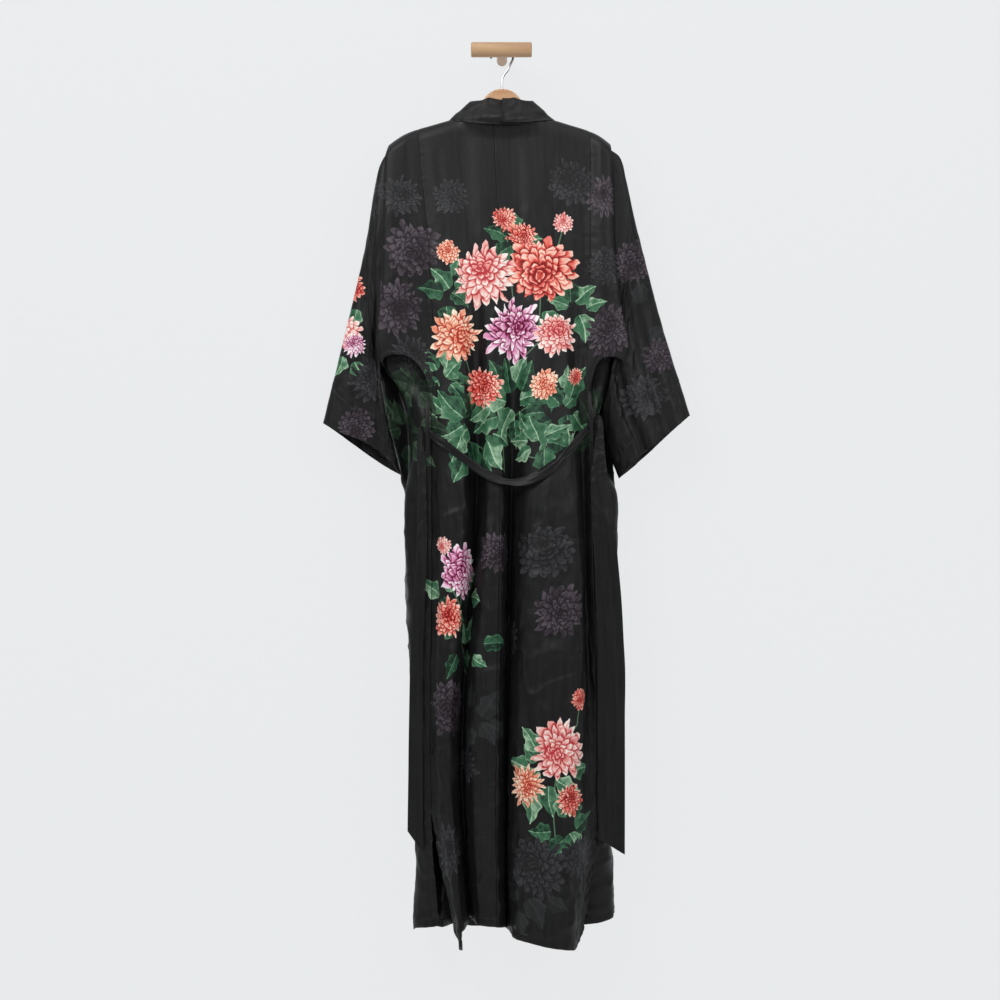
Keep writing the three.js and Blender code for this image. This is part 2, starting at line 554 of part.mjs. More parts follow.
// The depth of the cloth's outermost fold at height z, within a span on each side of x.
function outermost(x, z, span) {
  let y = 0;
  for (let f = NEAR_REACH_L; f <= NEAR_REACH_R; f += 0.04) {
    const at = ring(f, z);
    if (Math.abs(at.x - x) <= span) y = Math.min(y, at.y);
  }
  return y;
}

function tableCurve(rows, t) {
  const i = Math.min(rows.length - 2, Math.floor(t));
  const from = rows[Math.max(0, i - 1)];
  const to = rows[Math.min(rows.length - 1, i + 2)];
  const value = (column) => hermite(rows[i][column], rows[i + 1][column],
    (rows[i + 1][column] - from[column]) / 2, (to[column] - rows[i][column]) / 2, t - i);
  return Object.fromEntries(Object.keys(rows[0]).map((column) => [column, value(column)]));
}

const beltOff = CLOTH / 2 + BELT_THICKNESS / 2 + BELT_CLEAR;

function beltBack() {
  const rows = BELT_BACK.map((row) => ({
    ...row, y: outermost(row.x, row.z, row.span) - beltOff - row.width * row.roll / 200,
  }));
  const point = (t, w) => {
    const at = tableCurve(rows, t);
    const roll = THREE.MathUtils.degToRad(at.roll);
    return new THREE.Vector3(at.x, at.y - w * at.width * Math.sin(roll),
      at.z - w * at.width * Math.cos(roll));
  };
  const last = rows.length - 1;
  return wall(point, spread(0, last, last * 2), [-0.5, 0, 0.5], { thickness: BELT_THICKNESS });
}

function beltTail(table) {
  const rows = table.map((row) => ({
    ...row, y: outermost(row.x, row.z, row.width / 2) - beltOff - row.off,
  }));
  const point = (w, t) => {
    const at = tableCurve(rows, t);
    return new THREE.Vector3(at.x + w * at.width, at.y + 4 * w * w, at.z - w * at.slant);
  };
  const last = rows.length - 1;
  return wall(point, [-0.5, 0, 0.5], spread(0, last, last * 2), { thickness: BELT_THICKNESS });
}

// A loop is a narrow strap that stands off the side seam, with the belt between them. away is how
// far its middle is from the seam, towards the side.
const LOOP = { width: 6, thickness: 1.6, clear: 0.15 };
const LOOPS = {
  left: { top: -596, low: -690, away: 6, standoff: 11 },
  right: { top: -580, low: -668, away: -1, standoff: 15.5 },
};

function beltLoop(side) {
  const { top, low, away, standoff } = side < 0 ? LOOPS.left : LOOPS.right;
  const point = (w, t) => {
    const z = lerp(top, low, t);
    const seamX = ring(side < 0 ? SEAM_L : SEAM_R, z).x;
    const x = seamX + side * away + w * LOOP.width;
    const y = Math.min(outermost(x - LOOP.width / 2, z, 1.5), outermost(x + LOOP.width / 2, z, 1.5));
    const out = CLOTH / 2 + LOOP.thickness / 2 + LOOP.clear;
    return new THREE.Vector3(x, y - out - standoff * Math.sin(Math.PI * t) ** 0.7, z);
  };
  return wall(point, [-0.5, 0.5], spread(0, 1, 7), { thickness: LOOP.thickness });
}

// ---------------------------------------------------------------- hanger, hook and wall peg
const HANGER = { thickness: 12, hump: 37, humpTop: -64, end: 172, depth: 22, bevel: 3.5 };
const PEG = { stemRadius: 9, barRadius: 12.7, barHalf: 51.5, barY: -92, barX: -1, chamfer: 1.5,
  socket: 12, drop: 1 };
const HOOK = { wire: 2, bend: 19, seated: 4 };

function hangerGeometry() {
  const { hump, humpTop, end, depth, bevel } = HANGER;
  const clear = CLOTH / 2 + 1.5 + bevel;
  const shape = new THREE.Shape();
  const top = (x) => shoulderZ(x) - clear;
  const saddle = top(NECK_HALF) - 1;
  const arm = [110, 125, 140, 155, 165];
  shape.moveTo(-end, top(-end) - 5);
  shape.lineTo(-end, top(-end) - 2);
  for (const x of [...arm].reverse()) shape.lineTo(-x, top(-x));
  shape.lineTo(-NECK_HALF - 4, top(NECK_HALF + 4) - 1);
  shape.quadraticCurveTo(-50, saddle, -hump + bevel, humpTop - hump);
  shape.absarc(0, humpTop - hump, hump - bevel, Math.PI, 0, true);
  shape.quadraticCurveTo(50, saddle, NECK_HALF + 4, top(NECK_HALF + 4) - 1);
  for (const x of arm.slice(0, -1)) shape.lineTo(x, top(x));
  const tip = end * RIGHT_SHOULDER;
  shape.lineTo(tip, top(tip) - 2);
  shape.lineTo(tip, top(tip) - 5);
  shape.quadraticCurveTo(end - 40, top(end - 40) + 2 - depth, NECK_HALF, top(NECK_HALF) - depth);
  shape.quadraticCurveTo(0, top(NECK_HALF) - depth + 14, -NECK_HALF, top(NECK_HALF) - depth);
  shape.quadraticCurveTo(40 - end, top(end - 40) + 2 - depth, -end, top(-end) - 5);
  const geometry = new THREE.ExtrudeGeometry(shape, {
    depth: HANGER.thickness - 2 * bevel, bevelThickness: bevel, bevelSize: bevel,
    bevelSegments: 2, curveSegments: 12,
  });
  // The outline is drawn in x and z, and the extrusion runs along -y after the turn.
  return geometry.rotateX(Math.PI / 2).translate(0, HANGER_Y + HANGER.thickness / 2 - bevel, 0);
}

// Straight up out of the hanger, out to the right and over the stem to the left.
function hookGeometry() {
  const { bend, wire, seated } = HOOK;
  const centreZ = PEG.stemRadius - PEG.drop + 0.3 + wire - bend;
  const route = [[0, HANGER.humpTop - seated], [0.3, -48], [3.4, -40], [9, -33]];
  for (let angle = -38; angle <= 190; angle += 19) {
    const turn = THREE.MathUtils.degToRad(angle);
    route.push([bend * Math.cos(turn), centreZ + bend * Math.sin(turn)]);
  }
  const path = new THREE.CatmullRomCurve3(
    route.map(([x, z]) => new THREE.Vector3(x, HANGER_Y, z)), false, 'centripetal');
  const section = new THREE.Shape().absarc(0, 0, wire, 0, 2 * Math.PI);
  return new THREE.ExtrudeGeometry(section, { steps: 44, curveSegments: 5, extrudePath: path });
}

// A turned bar with chamfered ends, along +Y from its base.
function turned(radius, length, chamfer) {
  const profile = [[0, 0], [radius - chamfer, 0], [radius, chamfer],
    [radius, length - chamfer], [radius - chamfer, length], [0, length]];
  return new THREE.LatheGeometry(profile.map(([r, y]) => new THREE.Vector2(r, y)), 40);
}

const wasm = await Module();
wasm.setup();

function solidOf(geometry) {
  const bare = geometry.clone();
  bare.deleteAttribute('normal');
  bare.deleteAttribute('uv');
  const merged = mergeVertices(bare, 1e-4);
  return new wasm.Manifold(new wasm.Mesh({
    numProp: 3, vertProperties: merged.attributes.position.array,
    triVerts: new Uint32Array(merged.index.array),
  }));
}

function geometryOf(solid) {
  const { vertProperties, triVerts } = solid.getMesh();
  const geometry = new THREE.BufferGeometry();
  geometry.setAttribute('position', new THREE.BufferAttribute(vertProperties, 3));
  geometry.setIndex(new THREE.BufferAttribute(triVerts, 1));
  return geometry;
}

// The crossbar has a blind socket for the stem.
function crossbarGeometry() {
  const bar = turned(PEG.barRadius, 2 * PEG.barHalf, PEG.chamfer)
    .translate(0, -PEG.barHalf, 0).rotateZ(Math.PI / 2).translate(PEG.barX, PEG.barY, -PEG.drop);
  const socket = turned(PEG.stemRadius + 0.3, 2 * PEG.socket, 0.5)
    .translate(0, PEG.barY - 0.3, -PEG.drop);
  return geometryOf(solidOf(bar).subtract(solidOf(socket)));
}

// The hook is screwed into the hanger, which has a hole for it.
function boredHanger() {
  const hole = turned(HOOK.wire + 0.3, 2 * HOOK.seated + 8, 0.4).rotateX(Math.PI / 2)
    .translate(0, HANGER_Y, HANGER.humpTop - HOOK.seated - 0.3);
  return geometryOf(solidOf(hangerGeometry()).subtract(solidOf(hole)));
}

const stemGeometry = () => turned(PEG.stemRadius, -PEG.barY, PEG.chamfer)
  .translate(0, PEG.barY, -PEG.drop);

// ---------------------------------------------------------------- the group
const cloth = new THREE.MeshStandardMaterial({ color: 0x222224, roughness: 0.62, metalness: 0 });
const beech = new THREE.MeshStandardMaterial({ color: 0xd2a679, roughness: 0.5, metalness: 0 });
const steel = new THREE.MeshStandardMaterial({ color: 0xc8c8ca, roughness: 0.25, metalness: 1 });

// The peg's axis is z = 0 of the finished part, and PEG.drop below the zero of the tables.
const robe = new THREE.Group();
robe.position.z = PEG.drop;
function add(name, geometry, material = cloth) {
  const mesh = new THREE.Mesh(geometry, material);
  mesh.name = name;
  robe.add(mesh);
}

for (const [name, side] of [['left', -1], ['right', 1]]) {
  add(`back_${name}`, backPanel(side));
  add(`side_back_${name}`, sideBack(side));
  add(`front_${name}`, frontPanel(side));
  add(`sleeve_${name}`, sleeveWall(name, 0, CUFF_START - CUFF_GAP, 9));
  add(`cuff_${name}`, sleeveWall(name, CUFF_START + CUFF_GAP, 1, 1));
  add(`neckband_${name}`, neckHalf(side));
  add(`belt_loop_${name}`, beltLoop(side));
}
add('belt_back', beltBack());
add('belt_tail_left', beltTail(BELT_TAIL_LEFT));
add('belt_tail_right', beltTail(BELT_TAIL_RIGHT));
add('hanger', boredHanger(), beech);
add('hook', hookGeometry(), steel);
add('peg_crossbar', crossbarGeometry(), beech);
add('peg_stem', stemGeometry(), beech);

export default robe;
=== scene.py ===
"""Looks of the kimono robe, its hanger and its wall peg. Tables are in millimetres, in the frame of
the part's own tables, whose heights are PEG_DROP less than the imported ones. Meshes are in metres."""
import math

import bpy
import numpy as np
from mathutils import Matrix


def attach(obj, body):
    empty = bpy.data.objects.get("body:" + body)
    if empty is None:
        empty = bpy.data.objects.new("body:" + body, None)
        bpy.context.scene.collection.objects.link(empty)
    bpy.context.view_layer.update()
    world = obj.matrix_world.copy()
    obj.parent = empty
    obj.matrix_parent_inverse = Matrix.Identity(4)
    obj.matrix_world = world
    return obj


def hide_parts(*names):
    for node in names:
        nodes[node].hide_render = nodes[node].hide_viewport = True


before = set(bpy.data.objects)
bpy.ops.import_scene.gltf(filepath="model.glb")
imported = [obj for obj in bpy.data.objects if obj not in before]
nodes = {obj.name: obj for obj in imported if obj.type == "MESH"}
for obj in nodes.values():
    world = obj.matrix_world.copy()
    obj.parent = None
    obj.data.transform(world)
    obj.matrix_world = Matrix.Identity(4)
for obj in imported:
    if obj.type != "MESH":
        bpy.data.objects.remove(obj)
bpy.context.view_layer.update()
scene = bpy.context.scene
PEG_DROP = 1.0


# ---- tables of the garment
def numbers(rows):
    """The numbers in each line, or each part of a line that ends with a comma."""
    return [[float(x) for x in row.split()] for row in rows.replace(",", "\n").splitlines() if row.strip()]


def table(columns, rows):
    return dict(zip(columns.split(), np.array(numbers(rows)).T))


SECTIONS = table(
    "z leftSeam rightSeam leftNear rightNear leftReach rightReach leftTuck rightTuck"
    " nearY tuckY leftY rightY ridge valley inner outer open", """
 -118 -143 150 -192 184 -192 184 -192 184 -88 -74 -60 -60  -89 -88 -60 -58 90
 -190 -139 150 -199 187 -199 187 -199 187 -93 -75 -57 -57  -93 -91 -58 -54 76
 -340 -124 150 -204 190 -203 188 -203 188 -97 -77 -57 -57 -102 -97 -57 -42 60
 -430 -119 147 -206 201 -204 195 -204 194 -98 -78 -58 -58 -107 -98 -57 -37 58
 -520 -115 144 -209 212 -204 194 -200 188  -99 -78 -60 -49 -113 -98 -58 -32 58
 -610 -119 150 -150 165 -198 186 -166 164  -95 -46 -73 -42 -119 -96 -58 -29 58
 -690 -119 152 -151 168 -177 189 -160 168 -93 -50 -72 -46 -126 -93 -58 -28 58
 -756 -119 153 -165 193 -165 193 -163 192 -91 -70 -62 -60 -132 -90 -58 -27 58
 -900 -119 156 -162 193 -162 193 -163 194 -92 -78 -64 -64 -139 -88 -58 -24 58
-1110 -121 160 -152 189 -152 189 -153 190 -92 -78 -64 -64 -144 -88 -58 -21 56
-1340 -117 159 -144 184 -144 184 -145 185 -93 -78 -64 -64 -148 -89 -58 -19 55
-1470 -113 157 -152 187 -152 187 -153 188 -93 -78 -64 -64 -150 -90 -58 -18 54""")

BACK_FOLDS = table("top waist knee hem rise hemRise drop", """
0.0   0.0   0.0   0.0   0.4   0.4   2
0.07  0.07  0.05  0.06  0.85  0.9   4
0.17  0.2   0.105 0.14  1.0   1.0   3
0.26  0.283 0.185 0.213 0.0   0.0   0
0.34  0.352 0.262 0.285 0.9   0.9   4
0.44  0.425 0.395 0.39  0.95  0.95  7
0.53  0.497 0.453 0.44  0.0   0.1   17
0.63  0.58  0.515 0.5   0.95  1.0   22
0.82  0.885 0.9   0.9   1.0   0.95  38
0.935 0.95  0.96  0.965 0.1   0.65  28
1.0   1.0   1.0   1.0   0.4   0.45  6""")
FRONT_FOLDS = table("out depth", "0 0.45, 0.26 0.95, 0.5 0.1, 0.77 1")
FRONT_DROP = {-1: (13, 26), 1: (12, -12)}  # at the slit, and from the reach on
CHEST_Z, WAIST_Z, DROP_FROM_Z, KNEE_Z, SLIT_Z, HEM_Z = -340, -740, -1000, -1190, -1285, -1470
HANGER_Y, SHOULDER_ROLL, SEAM = -73, 24, 0.3
NECK_Z, NECK_HALF, NECK_DIP, NECK_BACK = -118.0, 90, 11, 32
SHOULDER_LINE = table("z height", "200 -168, 192 -160, 170 -144.5, 150 -135.5, 116 -125.5, 90 -118")
RIGHT_SHOULDER = 0.94  # the right shoulder's reach, as a share of the left's
CORNERS = {-1: (40, 16, 46, 2.9, 1.15), 1: (24, 8, 16, 3.6, 1.8)}  # inward, forward, down, width, power
FRONT_CORNERS = {-1: (8, 4), 1: (34, 14)}  # inward, back
ARCHES = {-1: (-518, 0.35, 22, 92, 2.6), 1: (-522, 0.42, 17, 88, 3.2)}
ARCH_FROM_Z, SIDE_JOIN_Z, TUCK_TOP_Z, TUCK_END_Z = -430, -610, -490, -625
FRONT_L, FAR_L, NEAR_L, SEAM_L, CENTRE, SEAM_R, NEAR_R, FAR_R, FRONT_R = 0, 4, 6, 8, 13, 18, 20, 22, 26
WORDS, SEAMS = {-1: "left", 1: "right"}, {-1: SEAM_L, 1: SEAM_R}
EDGES, FARS = {-1: FRONT_L, 1: FRONT_R}, {-1: FAR_L, 1: FAR_R}

SLEEVE_COLUMNS = "z topX topZ underX underZ near far back"
SLEEVES = {
    -1: table(SLEEVE_COLUMNS, """
 0    -184 -167 -199 -512 -91 -66  0
-0.05 -201 -182 -203 -520 -92 -62  0
-0.14 -213 -216 -212 -540 -93 -56  4
-0.4  -234 -338 -202 -598 -94 -42 17
-0.7  -265 -470 -187 -658 -92 -38 17
-1    -305 -633 -172 -722 -90 -36 15"""),
    1: table(SLEEVE_COLUMNS, """
 0    180 -166 198 -512 -91 -66  0
-0.05 200 -181 206 -522 -92 -64  0
-0.14 210 -216 212 -538 -93 -63  0
-0.27 223 -276 189 -573 -95 -60 -3
-0.4  239 -338 173 -602 -95 -46 -4
-0.7  273 -468 177 -664 -96 -42 -4
-1    320 -620 200 -727 -98 -38  0""")}
SLEEVE_PLEATS = {-1: (1.5, 5), 1: (3, 9)}
SLEEVE_BOWS = {-1: (17, -4), 1: (7, -3)}  # near and far face, at the cuff

BELT_BACK = table("x z width roll span", """
-128.6 -648 12  0  6
-100   -668 18  0 24
 -60   -697 18  0 30
 -20   -724 16 20 30
  16   -734 14 35 30
  50   -728 19 15 30
  90   -704 23  0 30
 122   -670 21  0 24
 154.6 -631 12  0  6""")
BELT_TAILS = {
    -1: table("x z width slant off", """
-137  -639 14 0 0
-135  -740 15 0 2
-136  -860 18 0 4
-143 -1000 22 0 5
-145 -1180 25 0 6
-146 -1339 27 36 7"""),
    1: table("x z width slant off", """
163  -621 14 0 0
164  -672 17 0 1
165  -740 31 0 2
175  -860 40 0 4
183 -1000 45 0 5
184 -1180 47 0 6
184 -1346 46 27 7""")}
LOOPS = {-1: (-596, -690, 6, 11), 1: (-580, -668, -1, 15.5)}  # top, low, away, standoff


# ---- interpolation and noise
def grid(*parts):
    return np.stack(np.broadcast_arrays(*parts), -1)


def bell(off, width):
    return np.exp(-(off / width) ** 2)


def fade(off, reach):
    return np.exp(-np.abs(off) / reach)


def lerp(a, b, t):
    return a + (b - a) * t


def smooth(t):
    t = np.clip(t, 0, 1)
    return t * t * (3 - 2 * t)


def hermite(a, b, slope_a, slope_b, t):
    t2, t3 = t * t, t * t * t
    return ((2 * t3 - 3 * t2 + 1) * a + (t3 - 2 * t2 + t) * slope_a
            + (3 * t2 - 2 * t3) * b + (t3 - t2) * slope_b)


def along(rows, column, z):
    zs, v = rows["z"], rows[column]
    last = len(zs) - 1
    low, high = np.maximum(np.arange(last + 1) - 1, 0), np.minimum(np.arange(last + 1) + 1, last)
    slope = (v[high] - v[low]) / (zs[high] - zs[low])
    z = np.clip(z, zs[-1], zs[0])
    i = np.clip(np.searchsorted(-zs, -z, side="right") - 1, 0, last - 1)
    h = zs[i + 1] - zs[i]
    return hermite(v[i], v[i + 1], slope[i] * h, slope[i + 1] * h, (z - zs[i]) / h)


def noise(u, v, seed):
    """Smooth noise from -1 to 1 on a seeded lattice."""
    lattice = np.random.default_rng(seed).random((128, 128)) * 2 - 1
    iu, iv = np.floor(u).astype(int), np.floor(v).astype(int)
    fu, fv = u - iu, v - iv
    fu, fv = fu ** 3 * (fu * (fu * 6 - 15) + 10), fv ** 3 * (fv * (fv * 6 - 15) + 10)
    corner = lambda du, dv: lattice[(iu + du) % 128, (iv + dv) % 128]
    return lerp(lerp(corner(0, 0), corner(1, 0), fu), lerp(corner(0, 1), corner(1, 1), fu), fv)


def rumple(u, v, seed):
    return noise(u, v, seed) + noise(u / 0.5 + 17, v / 0.5 - 9, seed + 1) * 0.5


def creased(u, v, seed):
    """Sharp little ridges between flatter places, from 0 to 1."""
    return (1 - np.abs(noise(u, v, seed))) ** 4


# ---- the ring of folds
def folds_at(z):
    """The ring's points at each height of z, as an array (heights, points, 2)."""
    at = {c: along(SECTIONS, c, z) for c in SECTIONS}
    down = smooth((WAIST_Z - z) / (WAIST_Z - HEM_Z))
    back = []
    for k in range(len(BACK_FOLDS["top"])):
        fold = {c: BACK_FOLDS[c][k] for c in BACK_FOLDS}
        place = along({"z": np.array([CHEST_Z, WAIST_Z, KNEE_Z, HEM_Z], float),
                       "at": np.array([fold["top"], fold["waist"], fold["knee"], fold["hem"]])}, "at", z)
        back.append((lerp(at["leftSeam"], at["rightSeam"], place),
                     lerp(at["valley"], at["ridge"], lerp(fold["rise"], fold["hemRise"], down))))

    def front(side, reach):
        return [(lerp(side * at["open"], reach, out), lerp(at["inner"], at["outer"], depth))
                for out, depth in zip(FRONT_FOLDS["out"], FRONT_FOLDS["depth"])]

    def flank(name, seam):
        near = (at[name + "Near"], at["nearY"])
        return [(at[name + "Reach"], at[name + "Y"]), (at[name + "Tuck"], at["tuckY"]), near,
                ((seam[0] + near[0]) / 2, (seam[1] + near[1]) / 2 - 6)]

    points = (front(-1, at["leftReach"]) + flank("left", back[0]) + back
              + flank("right", back[-1])[::-1] + front(1, at["rightReach"])[::-1])
    return np.array([grid(*p) for p in points]).transpose(1, 0, 2)


RING_TOP, RING_END, RING_STEP = -95.0, -1540.0, 1.0
FOLDS = folds_at(np.arange(RING_TOP, RING_END, -RING_STEP))


def ring(f, z):
    f, z = np.broadcast_arrays(np.asarray(f, float), np.asarray(z, float))
    row = np.clip((RING_TOP - z) / RING_STEP, 0, len(FOLDS) - 1.001)
    r = row.astype(int)
    t = (row - r)[..., None]
    k = np.clip(np.floor(f).astype(int), 0, FRONT_R - 1)
    p = [lerp(FOLDS[r, n], FOLDS[r + 1, n], t)
         for n in (np.maximum(k - 1, 0), k, k + 1, np.minimum(k + 2, FRONT_R))]
    d = [p[n + 1] - p[n] for n in range(3)]
    c = [np.linalg.norm(way, axis=-1)[..., None] + 1e-9 for way in d]
    before, after = ((d[n + 1] * c[n] / c[n + 1] + d[n] * c[n + 1] / c[n]) / (c[n] + c[n + 1])
                     for n in (0, 1))
    straight = d[1] / c[1]
    before = np.where((k == 0)[..., None], straight, before)
    after = np.where((k == FRONT_R - 1)[..., None], straight, after)
    return hermite(p[1], p[2], before * c[1], after * c[1], (f - k)[..., None])


# Length along the ring from the centre back seam: the cloth's own flat coordinate.
ARC_PARTS, ARC_STEP = 40, 6.0  # parts to each fold, and millimetres from row to row
ARC_F = np.linspace(0, FRONT_R, FRONT_R * ARC_PARTS + 1)
ARC_Z = np.arange(RING_TOP, RING_END + 10, -ARC_STEP)
ARC = np.linalg.norm(np.diff(ring(ARC_F[None], ARC_Z[:, None]), axis=1), axis=-1)
ARC = np.concatenate([np.zeros((len(ARC_Z), 1)), np.cumsum(ARC, 1)], 1)
ARC -= ARC[:, [CENTRE * ARC_PARTS]]


def arc(f, z):
    f, z = np.broadcast_arrays(np.asarray(f, float), np.asarray(z, float))
    i = np.clip((RING_TOP - z) / ARC_STEP, 0, len(ARC_Z) - 1.001)
    j = np.clip(f * ARC_PARTS, 0, len(ARC_F) - 1.001)
    a, b = i.astype(int), j.astype(int)
    upper, lower = (lerp(ARC[row, b], ARC[row, b + 1], j - b) for row in (a, a + 1))
    return lerp(upper, lower, i - a)


def even(start, end, step, z=-900.0):
    """Values of f from start to end, about step millimetres apart at height z."""
    fs = np.linspace(start, end, 400)
    lengths = arc(fs, z)
    count = max(2, int(round((lengths[-1] - lengths[0]) / step)))
    return np.interp(np.linspace(lengths[0], lengths[-1], count + 1), lengths, fs)


# ---- the body's surface
def shoulder_z(x):
    reach = NECK_HALF + (np.abs(x) - NECK_HALF) / np.where(x > 0, RIGHT_SHOULDER, 1)
    return along(SHOULDER_LINE, "height", np.where(np.abs(x) < NECK_HALF, NECK_HALF, reach))


def top_edge(f):
    x = ring(f, NECK_Z)[..., 0]
    is_back = (f >= NEAR_L) & (f <= NEAR_R)
    dip = np.where(is_back, np.cos(np.pi / 2 * np.clip(np.abs(x) / NECK_HALF, 0, 1)), 0).clip(0)
    y = np.where(is_back, HANGER_Y - SEAM - NECK_BACK * dip ** 0.8, HANGER_Y + SEAM)
    return grid(x, y, shoulder_z(x) - NECK_DIP * dip)


def hem_drop(f, z):
    share = smooth((DROP_FROM_Z - z) / (DROP_FROM_Z - HEM_Z))
    drop = along({"z": -np.arange(11.0), "drop": BACK_FOLDS["drop"]}, "drop", SEAM_L - f)
    for side, away in ((-1, SEAM_L - f), (1, f - SEAM_R)):
        drop = np.where(away > 0, lerp(*FRONT_DROP[side], smooth(away / 4)), drop)
    return share * drop


def hung(f, z):
    f, z = np.broadcast_arrays(f, z)
    p = ring(f, z)
    p = grid(p[..., 0], p[..., 1], z - hem_drop(f, z))
    fall = np.clip((SLIT_Z - z) / (SLIT_Z - HEM_Z), 0, 1)
    is_back = (f >= SEAM_L) & (f <= SEAM_R)
    for side, seam in SEAMS.items():
        inward, forward, down, width, power = CORNERS[side]
        near = smooth(1 - np.abs(f - seam) / width) * fall ** power * is_back
        p = p + grid(-side * inward * near, -forward * near, -down * near)
        inward, behind = FRONT_CORNERS[side]
        near = smooth(1 - np.abs(f - seam) / 2) * fall ** 1.6 * ~is_back
        p = p + grid(-side * inward * near, behind * near, 0)
    return p


def rolled(f, share):
    top = top_edge(f)
    low = ring(f, top[..., 2] - SHOULDER_ROLL)
    angle = share * np.pi / 2
    down = 1 - np.cos(angle)
    return grid(lerp(top[..., 0], low[..., 0], down), lerp(top[..., 1], low[..., 1], np.sin(angle)),
                top[..., 2] - SHOULDER_ROLL * down)


JOIN_Z = -230.0


def body(f, level):
    """The surface at f and level: 0 to 1 rolls off the ridge, 1 to 2 comes level with JOIN_Z, and
    from 2 on level is 2 plus the millimetres below JOIN_Z. Also gives each point's height on the ring."""
    f, level = np.broadcast_arrays(np.asarray(f, float), np.asarray(level, float))
    start = top_edge(f)[..., 2] - SHOULDER_ROLL
    z = np.where(level < 2, lerp(start, JOIN_Z, np.clip(level - 1, 0, 1)), JOIN_Z + 2 - level)
    on_ridge = (level < 1)[..., None]
    p = np.where(on_ridge, rolled(f, np.clip(level, 0, 1)), hung(f, z))
    return p, np.where(level < 1, p[..., 2], z)


def level_of(z):
    return 2 + JOIN_Z - z


def levels(step, end=HEM_Z):
    below = np.linspace(2, level_of(end), int((JOIN_Z - end) / step) + 1)
    return np.concatenate([np.linspace(0, 1, 12)[:-1], np.linspace(1, 2, 26)[:-1], below])


# ---- folds and creases of the silk
def silk_relief(u, z, x, f):
    """How far the hanging silk stands out from its smooth shape."""
    free = smooth((-215 - z) / 110)
    skirt = smooth((-640 - z) / 260)
    below = np.interp(x, BELT_BACK["x"], BELT_BACK["z"]) - z  # how far under the belt
    held = 1 - 0.85 * bell(below, 20) * (np.abs(f - CENTRE) < 5.4)
    soft = rumple(u / 46 + 0.15 * noise(z / 90, u / 200, 5), z / 300, 11) * lerp(0.9, 2.2, skirt)
    fine = rumple(u / 17, z / 110, 23) * lerp(0.30, 0.65, skirt)
    crushed = (creased(u / 30 + z / 160, z / 38 - u / 120, 31) - 0.25) * lerp(0.5, 2.3, skirt)
    dents = rumple(u / 24 + z / 90, z / 30 - u / 80, 47) * lerp(0.3, 1.3, skirt)
    small = rumple(u / 7.5, z / 20, 41) * lerp(0.16, 0.5, skirt)
    out = (soft + fine + crushed + dents + small) * free * held
    # fullness under the belt, in short soft pleats
    out += 1.5 * bell(below - 42, 34) * noise(u / 13, z / 150, 53) * (np.abs(f - CENTRE) < 5)
    # faint long creases down the upper back
    for centre, width, deep in ((-58, 6, 0.6), (46, 7, 0.4), (-96, 8, 0.5), (98, 6, 0.8)):
        line = u - centre - 6 * noise(z / 150, 0 * z, 200 + centre)
        out -= deep * bell(line, width) * smooth((-150 - z) / 40) * smooth((z + 520) / 160)
    # crumpled loose corners of the hem
    for side, width in ((-1, 2.2), (1, 2.6)):
        near = smooth(1 - np.abs(f - SEAMS[side]) / width) * smooth((-1330 - z) / 80)
        out += near * (2.8 * (creased((u * side + z) / 20, (u * side - z) / 52, 71 + side) - 0.3)
                       + 1.3 * rumple((u * side + z) / 13, (u * side - z) / 30, 75 + side))
    return out


def seam_relief(d, z, deep, pucker):
    """A sewn seam, at distance d from it: a groove, with short puckers across it."""
    return pucker * fade(d, 9) * noise(z / 6.5, d / 30, 83) * (1 - bell(d, 1.2)) - deep * bell(d, 1.3)


# ---- meshes
def linked(name, data):
    made = bpy.data.objects.new(name, data)
    scene.collection.objects.link(made)
    return made


def normals(p, tube):
    du = np.roll(p, -1, 1) - np.roll(p, 1, 1) if tube else np.gradient(p, axis=1)
    n = np.cross(du, np.gradient(p, axis=0))
    return n / (np.linalg.norm(n, axis=-1, keepdims=True) + 1e-9)


def moved_out(p, relief, tube=False, outward=-1):
    return p + outward * normals(p, tube) * relief[..., None]


def fill(data, key, values, kind=np.float32):
    data.foreach_set(key, np.ravel(values).astype(kind))


def put(mesh, name, corners):
    fill(mesh.attributes.new(name, "FLOAT_VECTOR", "CORNER").data, "vector", corners)


